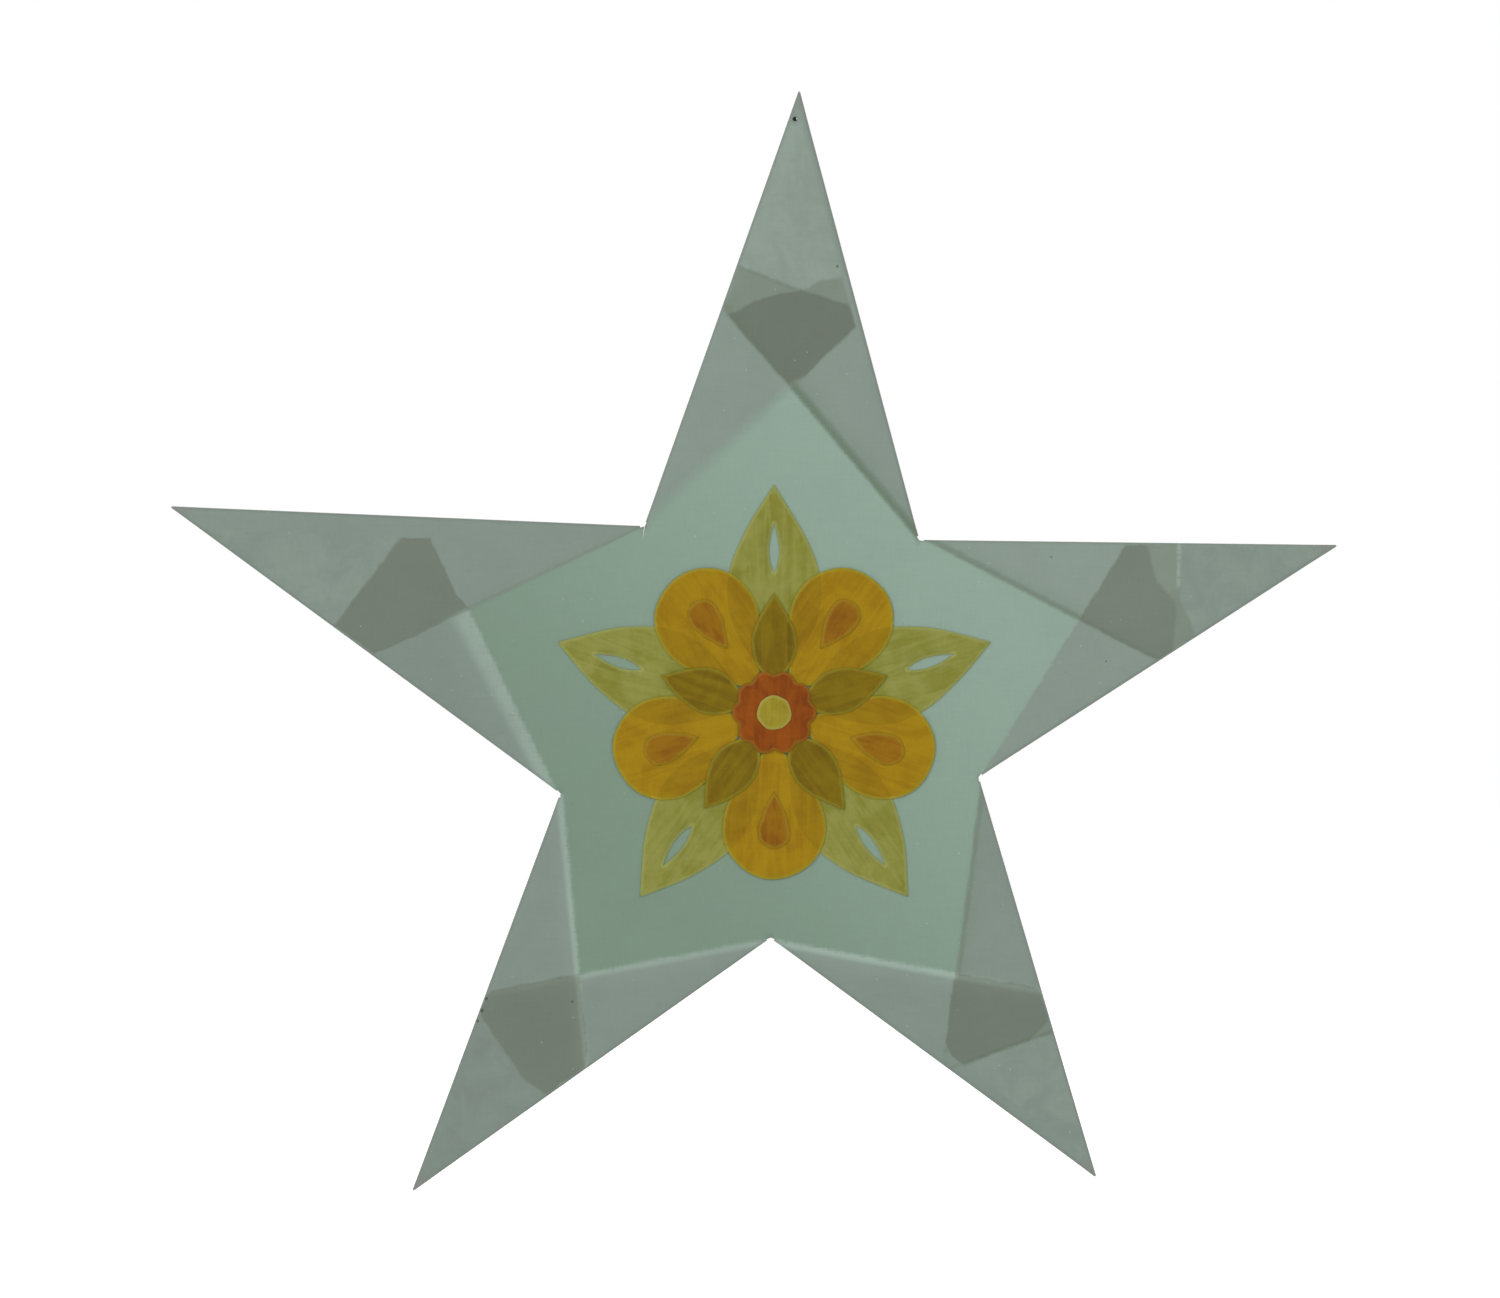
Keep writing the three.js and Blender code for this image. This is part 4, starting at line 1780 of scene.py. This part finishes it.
@dataclass
class CutPaper:
    """One piece of coloured paper of the rosette, pasted on the sheet or on the piece below."""

    name: str
    outline: Sequence[Point]
    bearing: float
    layer: int
    seed: int
    hole: Sequence[Point] = ()
    wobble: float = 0.12
    spacing: float = 1.7
    rim: float = 0.7
    curl: float = 0.05
    seed_offset: float = 13.7

    def hand_cut(self, outline: Sequence[Point]) -> list[Point]:
        """Makes an outline as scissors leave it: smooth, but not quite even.

        Args:
            outline: The even outline.

        Returns:
            The cut outline.
        """
        draw = random.Random(self.seed)
        phases = [draw.uniform(0, math.tau) for _ in range(3)]
        middle_z = sum(p[1] for p in outline) / len(outline)
        cut = []
        for x, z in outline:
            angle = math.atan2(x, z - middle_z)
            off = sum(math.sin((3 + 2 * i) * angle + phase) for i, phase in enumerate(phases)) / 3
            reach = max(NEAR_ZERO, math.hypot(x, z - middle_z))
            scale = 1 + self.wobble * min(1.0, reach / 3) * (off - 1) / reach
            cut.append((x * scale, middle_z + (z - middle_z) * scale))
        return cut

    def turned(self, point: Point, layout: StarLayout, rosette: Rosette) -> Point:
        """Takes a point from the piece's own axes to the frame's.

        Args:
            point: Point on the piece.
            layout: The star's layout.
            rosette: The rosette's sizes.

        Returns:
            The point in the frame's axes.
        """
        angle = math.radians(self.bearing)
        cos, sin = math.cos(angle), math.sin(angle)
        x, z = point
        return layout.placed((rosette.right + x * cos + z * sin, -rosette.down - x * sin + z * cos))

    def unturned(self, point: Point, layout: StarLayout, rosette: Rosette) -> Point:
        """Takes a point from the frame's axes to the piece's own.

        Args:
            point: Point in the frame's axes.
            layout: The star's layout.
            rosette: The rosette's sizes.

        Returns:
            The point on the piece.
        """
        angle = math.radians(self.bearing)
        cos, sin = math.cos(angle), math.sin(angle)
        x = point[0] - layout.middle[0] - rosette.right
        z = point[1] - layout.middle[1] + rosette.down
        return (x * cos - z * sin, x * sin + z * cos)

    def placed_outline(self, layout: StarLayout, rosette: Rosette) -> list[Point]:
        """Returns the piece's cut outline in the frame's axes."""
        return [self.turned(p, layout, rosette) for p in self.hand_cut(self.outline)]

    def build(self, layout: StarLayout, rise: PaperRise, rosette: Rosette,
              lower: Sequence[Sequence[Point]]) -> bpy.types.Mesh:
        """Builds the piece's mesh in place.

        Args:
            layout: The star's layout.
            rise: Heights of the sheet.
            rosette: The rosette's sizes.
            lower: Outlines of the pieces below, in the frame's axes.

        Returns:
            The mesh, with each point's place on the piece and the pieces below it as attributes.
        """
        outline = self.hand_cut(self.outline)
        guides = [[self.unturned(p, layout, rosette) for p in (*under, under[0])] for under in lower]
        plan, triangles = triangulate(outline, self.spacing, guides, self.hole, self.rim)
        edges = [edge_distance(p, outline) for p in plan]
        if self.hole:
            edges = [min(edge, edge_distance(p, self.hole)) for edge, p in zip(edges, plan)]
        reach = max(math.hypot(*p) for p in plan)
        points = []
        for x, z in plan:
            turned = self.turned((x, z), layout, rosette)
            curl = self.curl * ease(math.hypot(x, z), 0.5 * reach, reach)
            height = rise.wave(turned) - (self.layer - 0.5) * PETAL_PITCH - curl
            points.append((turned[0], height, turned[1]))
        surface = Surface()
        surface.add_patch(points, triangles)
        mesh = surface.to_mesh(self.name)
        place = mesh.attributes.new("piece_place", "FLOAT_VECTOR", "POINT")
        for i, ((x, z), edge) in enumerate(zip(plan, edges)):
            place.data[i].vector = (x, z + self.seed_offset * self.seed, edge)
        mesh = thickened(mesh, PETAL_THICKNESS)
        corner_vectors(mesh, "piece_under", lambda _, middle: (
            float(sum(inside(middle, under) for under in lower)), 0.0, 0.0))
        return mesh


class PetalKind(Enum):
    """The rosette's finishes."""

    PALE_LEAF = ColouredPaper("pale_green_paper", srgb(145, 147, 72), srgb(129, 129, 46), srgb(160, 166, 96),
                              alpha=0.94)
    AMBER = ColouredPaper("amber_paper", srgb(162, 129, 6), srgb(147, 112, 2), srgb(160, 152, 44))
    OLIVE = ColouredPaper("olive_paper", srgb(136, 114, 4), srgb(119, 94, 0), srgb(144, 134, 34))
    ORANGE = ColouredPaper("orange_paper", srgb(158, 112, 6), srgb(138, 86, 2), srgb(160, 132, 28))
    RED = ColouredPaper("red_paper", srgb(146, 74, 4), srgb(122, 56, 0), srgb(154, 104, 26))
    GOLD = ColouredPaper("gold_paper", srgb(166, 152, 46), srgb(148, 126, 24), srgb(172, 166, 80))


def rosette_pieces(rosette: Rosette) -> list[tuple[CutPaper, PetalKind]]:
    """Lists the rosette's pieces with their finishes, from the sheet outward.

    Args:
        rosette: The rosette's sizes.

    Returns:
        The pieces.
    """
    steps = rosette.steps
    leaf = leaf_outline(*rosette.leaf, rosette.leaf_fullness, steps)
    vein = leaf_outline(*rosette.vein, rosette.leaf_fullness, rosette.vein_steps)
    petal = petal_outline(*rosette.petal, steps // 2)
    olive = leaf_outline(*rosette.olive, rosette.leaf_fullness, steps // 2)
    drop = petal_outline(*rosette.drop, steps // 3)
    pieces = []
    for i in range(ARM_COUNT):
        to_tip, to_notch = ARM_STEP * i, ARM_STEP * (i + 0.5)
        pieces += [
            (CutPaper(f"pale_leaf_{i + 1}", leaf, to_tip, layer=1, seed=10 + i, hole=vein),
             PetalKind.PALE_LEAF),
            (CutPaper(f"amber_petal_{i + 1}", petal, to_notch, layer=2, seed=20 + i), PetalKind.AMBER),
            (CutPaper(f"olive_petal_{i + 1}", olive, to_tip, layer=3, seed=30 + i), PetalKind.OLIVE),
            (CutPaper(f"orange_drop_{i + 1}", drop, to_notch, layer=3, seed=40 + i), PetalKind.ORANGE),
        ]
    heart = scalloped_outline(rosette.heart_radius, rosette.heart_scallop, rosette.heart_scallops)
    sides = rosette.button_sides
    button = [polar(rosette.button_radius, FULL_TURN * i / sides) for i in range(sides)]
    pieces += [
        (CutPaper("red_flower_heart", heart, 0, layer=4, seed=50, wobble=0.05), PetalKind.RED),
        (CutPaper("gold_button", button, 0, layer=5, seed=60), PetalKind.GOLD),
    ]
    return pieces


# Assembly

@dataclass
class StarSheetPiece:
    """The folded sheet with its finish and with the attributes that the finish reads."""

    layout: StarLayout
    rise: PaperRise
    rosette: Rosette
    tint_below: float = 0.45
    tint_above: float = 0.5
    tint_margin: float = 1.0

    def write_arm_values(self, mesh: bpy.types.Mesh) -> None:
        """Writes each face corner's depths inside the folds, and its arm's tones and lines.

        Args:
            mesh: The sheet's mesh.
        """
        values: dict[str, Callable[[Arm, Point], Triple]] = {
            "fold_depth": lambda arm, at: arm.pair(lambda flap: flap.fold_depth(at), arm.edge_distance(at)),
            "flap_depth": lambda arm, at: arm.pair(lambda flap: flap.cover_depth(at)),
            "hem_depth": lambda arm, at: arm.pair(lambda flap: flap.hem_depth(at), span(at, arm.tip)),
            "fold_glow": lambda arm, at: arm.pair(lambda flap: flap.fold.glow),
            "fold_width": lambda arm, at: arm.pair(lambda flap: flap.glow_width(at)),
            "fold_past": lambda arm, at: arm.pair(lambda flap: flap.fold.past),
            "fold_end_line": lambda arm, at: arm.pair(lambda flap: flap.end_line(at)),
            "fold_blur": lambda arm, at: arm.pair(lambda flap: flap.blur(at)),
        }
        arm_at = self.layout.arm_at
        for name, value in values.items():
            corner_vectors(mesh, name, lambda at, middle: value(arm_at(middle), at))
        corner_vectors(mesh, "arm_tone", lambda at, middle: arm_at(middle).tones(middle))

    def write_show_through(self, mesh: bpy.types.Mesh) -> None:
        """Writes the rosette's colours on each face, as they show through the window from behind.

        Args:
            mesh: The sheet's mesh.
        """
        shapes = [(piece, piece.placed_outline(self.layout, self.rosette), kind.value.base)
                  for piece, kind in rosette_pieces(self.rosette)]
        middle = self.layout.placed((self.rosette.right, -self.rosette.down))
        tint = mesh.attributes.new("show_through", "FLOAT_COLOR", "CORNER")
        for polygon in mesh.polygons:
            point = (polygon.center.x / MM, polygon.center.z / MM)
            colour, cover = (0.0, 0.0, 0.0), 0.0
            near = span(point, middle) < self.rosette.leaf[1] + self.tint_margin
            for piece, outline, base in shapes if near else ():
                own = piece.unturned(point, self.layout, self.rosette)
                if inside(point, outline) and not (piece.hole and inside(own, piece.hole)):
                    mixed = tuple(self.tint_below * low + self.tint_above * top
                                  for low, top in zip(colour, base))
                    colour, cover = mixed if cover else base, 1.0
            for loop in polygon.loop_indices:
                tint.data[loop].color = (*colour, cover)

    def make(self) -> None:
        """Builds the sheet and dresses it."""
        marks: list[list[Point]] = []
        for piece, _ in rosette_pieces(self.rosette):
            marks.append(piece.placed_outline(self.layout, self.rosette))
            if piece.hole:
                marks.append([piece.turned(p, self.layout, self.rosette) for p in piece.hole])
        mesh = FoldedSheet(self.layout, self.rise, marks=marks).build()
        self.write_arm_values(mesh)
        self.write_show_through(mesh)
        material = TransparentPaper().material(self.layout)
        add_piece("folded_sheet", mesh, material, "star_sheet")


@dataclass
class PasteDabs:
    """The dabs of paste between the two flaps of each arm."""

    layout: StarLayout
    rise: PaperRise
    thickness: float = 0.16
    end_step: float = 1.5
    edge_step: float = 1.0
    spacing: float = 1.4
    unevenness: float = 0.09
    first_seed: int = 70

    def outline(self, arm: Arm, seed: int) -> list[Point]:
        """Shapes an arm's dab, uneven where it spread under the thumb.

        Args:
            arm: The arm.
            seed: Seed of the unevenness.

        Returns:
            The outline.
        """
        shape = [arm.tip, arm.before, arm.after]
        for flap in (arm.first, arm.second):
            for line in (flap.crease, flap.hem_fold, flap.free_edge):
                shape = line.moved(PASTE_MARGIN).clip(shape)
            shape = flap.cut_at_end(shape, self.end_step)
        draw = random.Random(seed)
        middle = (sum(p[0] for p in shape) / len(shape), sum(p[1] for p in shape) / len(shape))
        spread: list[Point] = []
        for i, start in enumerate(shape):
            for point in stepped(start, shape[(i + 1) % len(shape)], self.edge_step)[:-1]:
                spread.append(between(point, middle, draw.uniform(0.0, self.unevenness)))
        return spread

    def make(self) -> None:
        """Builds the five dabs and dresses them."""
        material = DriedPaste().material()
        for i, arm in enumerate(self.layout.arms):
            plan, triangles = triangulate(self.outline(arm, self.first_seed + i), self.spacing)
            surface = Surface()
            surface.add_plan(plan, triangles, self.between_flaps)
            name = f"paste_dab_{arm.fold.name}"
            mesh = thickened(surface.to_mesh(name), self.thickness)
            add_piece(name, mesh, material, f"paste_patch_{arm.fold.name}")

    def between_flaps(self, point: Point) -> float:
        """Returns the height halfway between the first flap and the second hem."""
        return (self.rise.sheet(point, 2) + self.rise.sheet(point, 3)) / 2


@dataclass
class RosettePieces:
    """All the coloured pieces on the window."""

    layout: StarLayout
    rise: PaperRise
    rosette: Rosette

    def make(self) -> None:
        """Builds every piece and dresses it."""
        materials = {kind: kind.value.material() for kind in PetalKind}
        pieces = rosette_pieces(self.rosette)
        for piece, kind in pieces:
            mesh = piece.build(self.layout, self.rise, self.rosette, [
                below.placed_outline(self.layout, self.rosette) for below, _ in pieces
                if below.layer < piece.layer])
            add_piece(f"{piece.name}_paper", mesh, materials[kind], piece.name)


# Stage

@dataclass(frozen=True)
class Lamp:
    """A square soft lamp: its place and side in metres, and its power in watts."""

    name: str
    place: Triple
    power: float
    size: float


@dataclass
class Studio:
    """Pale floor, soft lamps and the camera of the photograph."""

    view_width: float = 0.2688
    aim: Point = (-0.00804, -0.095)
    lens: float = 85.0
    sensor: float = 36.0
    floor_height: float = -0.26
    floor_size: float = 6.0
    floor_colour: Colour = (0.9, 0.9, 0.89)
    floor_grain: Noise = (0.02, 3.0)
    floor_tone: Step = (0.3, 0.7, 0.97, 1.0)
    floor_roughness: float = 0.9
    floor_glow: float = 0.42
    sky_strength: float = 0.63
    lamps: tuple[Lamp, ...] = (
        Lamp("key", (-0.5, -0.85, 0.35), power=3.3, size=0.7),
        Lamp("fill", (0.75, -0.8, -0.05), power=1.5, size=0.8),
        Lamp("back", (0.3, 0.9, 0.4), power=2.6, size=0.8))

    def camera(self) -> None:
        """Makes the camera, square to the star."""
        data = bpy.data.cameras.new("camera")
        data.lens, data.sensor_width, data.sensor_fit = self.lens, self.sensor, "HORIZONTAL"
        camera = add_object("camera", data)
        camera.location = (self.aim[0], -self.lens * self.view_width / self.sensor, self.aim[1])
        camera.rotation_euler = (math.pi / 2, 0, 0)
        bpy.context.scene.camera = camera

    def light(self, lamp: Lamp) -> None:
        """Makes a lamp that faces the middle of the star.

        Args:
            lamp: Its place, power and size.
        """
        data = bpy.data.lights.new(lamp.name, "AREA")
        data.energy, data.size = lamp.power, lamp.size
        made = add_object(lamp.name, data)
        made.location = lamp.place
        aim = Vector((self.aim[0], 0, self.aim[1])) - Vector(lamp.place)
        made.rotation_euler = aim.to_track_quat("-Z", "Y").to_euler()

    def unseen_share(self, graph: Graph) -> Socket:
        """Tells the rays that should see plain white: from the camera, a gloss or a glass.

        Args:
            graph: The material's graph.

        Returns:
            The socket of their mask.
        """
        path = graph.node("ShaderNodeLightPath").outputs
        seen = graph.math("MAXIMUM", path["Is Camera Ray"], path["Is Glossy Ray"])
        return graph.math("MAXIMUM", seen, path["Is Transmission Ray"])

    def sky(self) -> None:
        """Makes a white world that lights the star at a plain level."""
        world = bpy.data.worlds.new("studio")
        world.use_nodes = True
        graph = Graph(world.node_tree)
        sky = graph.find("BACKGROUND")
        level = graph.smooth(self.unseen_share(graph), 0.0, 1.0, self.sky_strength, 1.0)
        sky.inputs["Color"].default_value = (1, 1, 1, 1)
        graph.link(level, sky.inputs["Strength"])
        bpy.context.scene.world = world

    def floor(self) -> None:
        """Makes a pale floor that reads as white paper and keeps the star's shadow."""
        half = self.floor_size / 2
        mesh = bpy.data.meshes.new("floor")
        corners = [(-half, -half), (half, -half), (half, half), (-half, half)]
        mesh.from_pydata([(x, y, self.floor_height) for x, y in corners], [], [(0, 1, 2, 3)])
        material, graph, shader = new_material("pale_floor")
        place = graph.place_in_mm()
        grain = graph.smooth(graph.noise(place, *self.floor_grain), *self.floor_tone)
        graph.link(graph.times(self.floor_colour, grain), shader.inputs["Base Color"])
        shader.inputs["Roughness"].default_value = self.floor_roughness
        glow = graph.node("ShaderNodeEmission", {
            "Strength": graph.product(self.unseen_share(graph), self.floor_glow)})
        mixed = graph.node("ShaderNodeAddShader", {0: shader.outputs[0], 1: glow.outputs[0]})
        graph.link(mixed.outputs[0], graph.find("OUTPUT_MATERIAL").inputs["Surface"])
        mesh.materials.append(material)
        add_object("floor", mesh)

    def make(self) -> None:
        """Makes the whole stage."""
        self.camera()
        self.sky()
        self.floor()
        for lamp in self.lamps:
            self.light(lamp)
        bpy.context.scene.view_settings.view_transform = "Standard"


def main() -> None:
    """Builds the star around its frame, with its stage."""
    logging.basicConfig(level=logging.INFO, format="%(name)s %(message)s")
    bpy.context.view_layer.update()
    Studio().make()
    layout = StarLayout()
    rise = PaperRise(layout)
    rosette = Rosette()
    StarSheetPiece(layout, rise, rosette).make()
    PasteDabs(layout, rise).make()
    RosettePieces(layout, rise, rosette).make()


if __name__ == "__main__":
    main()
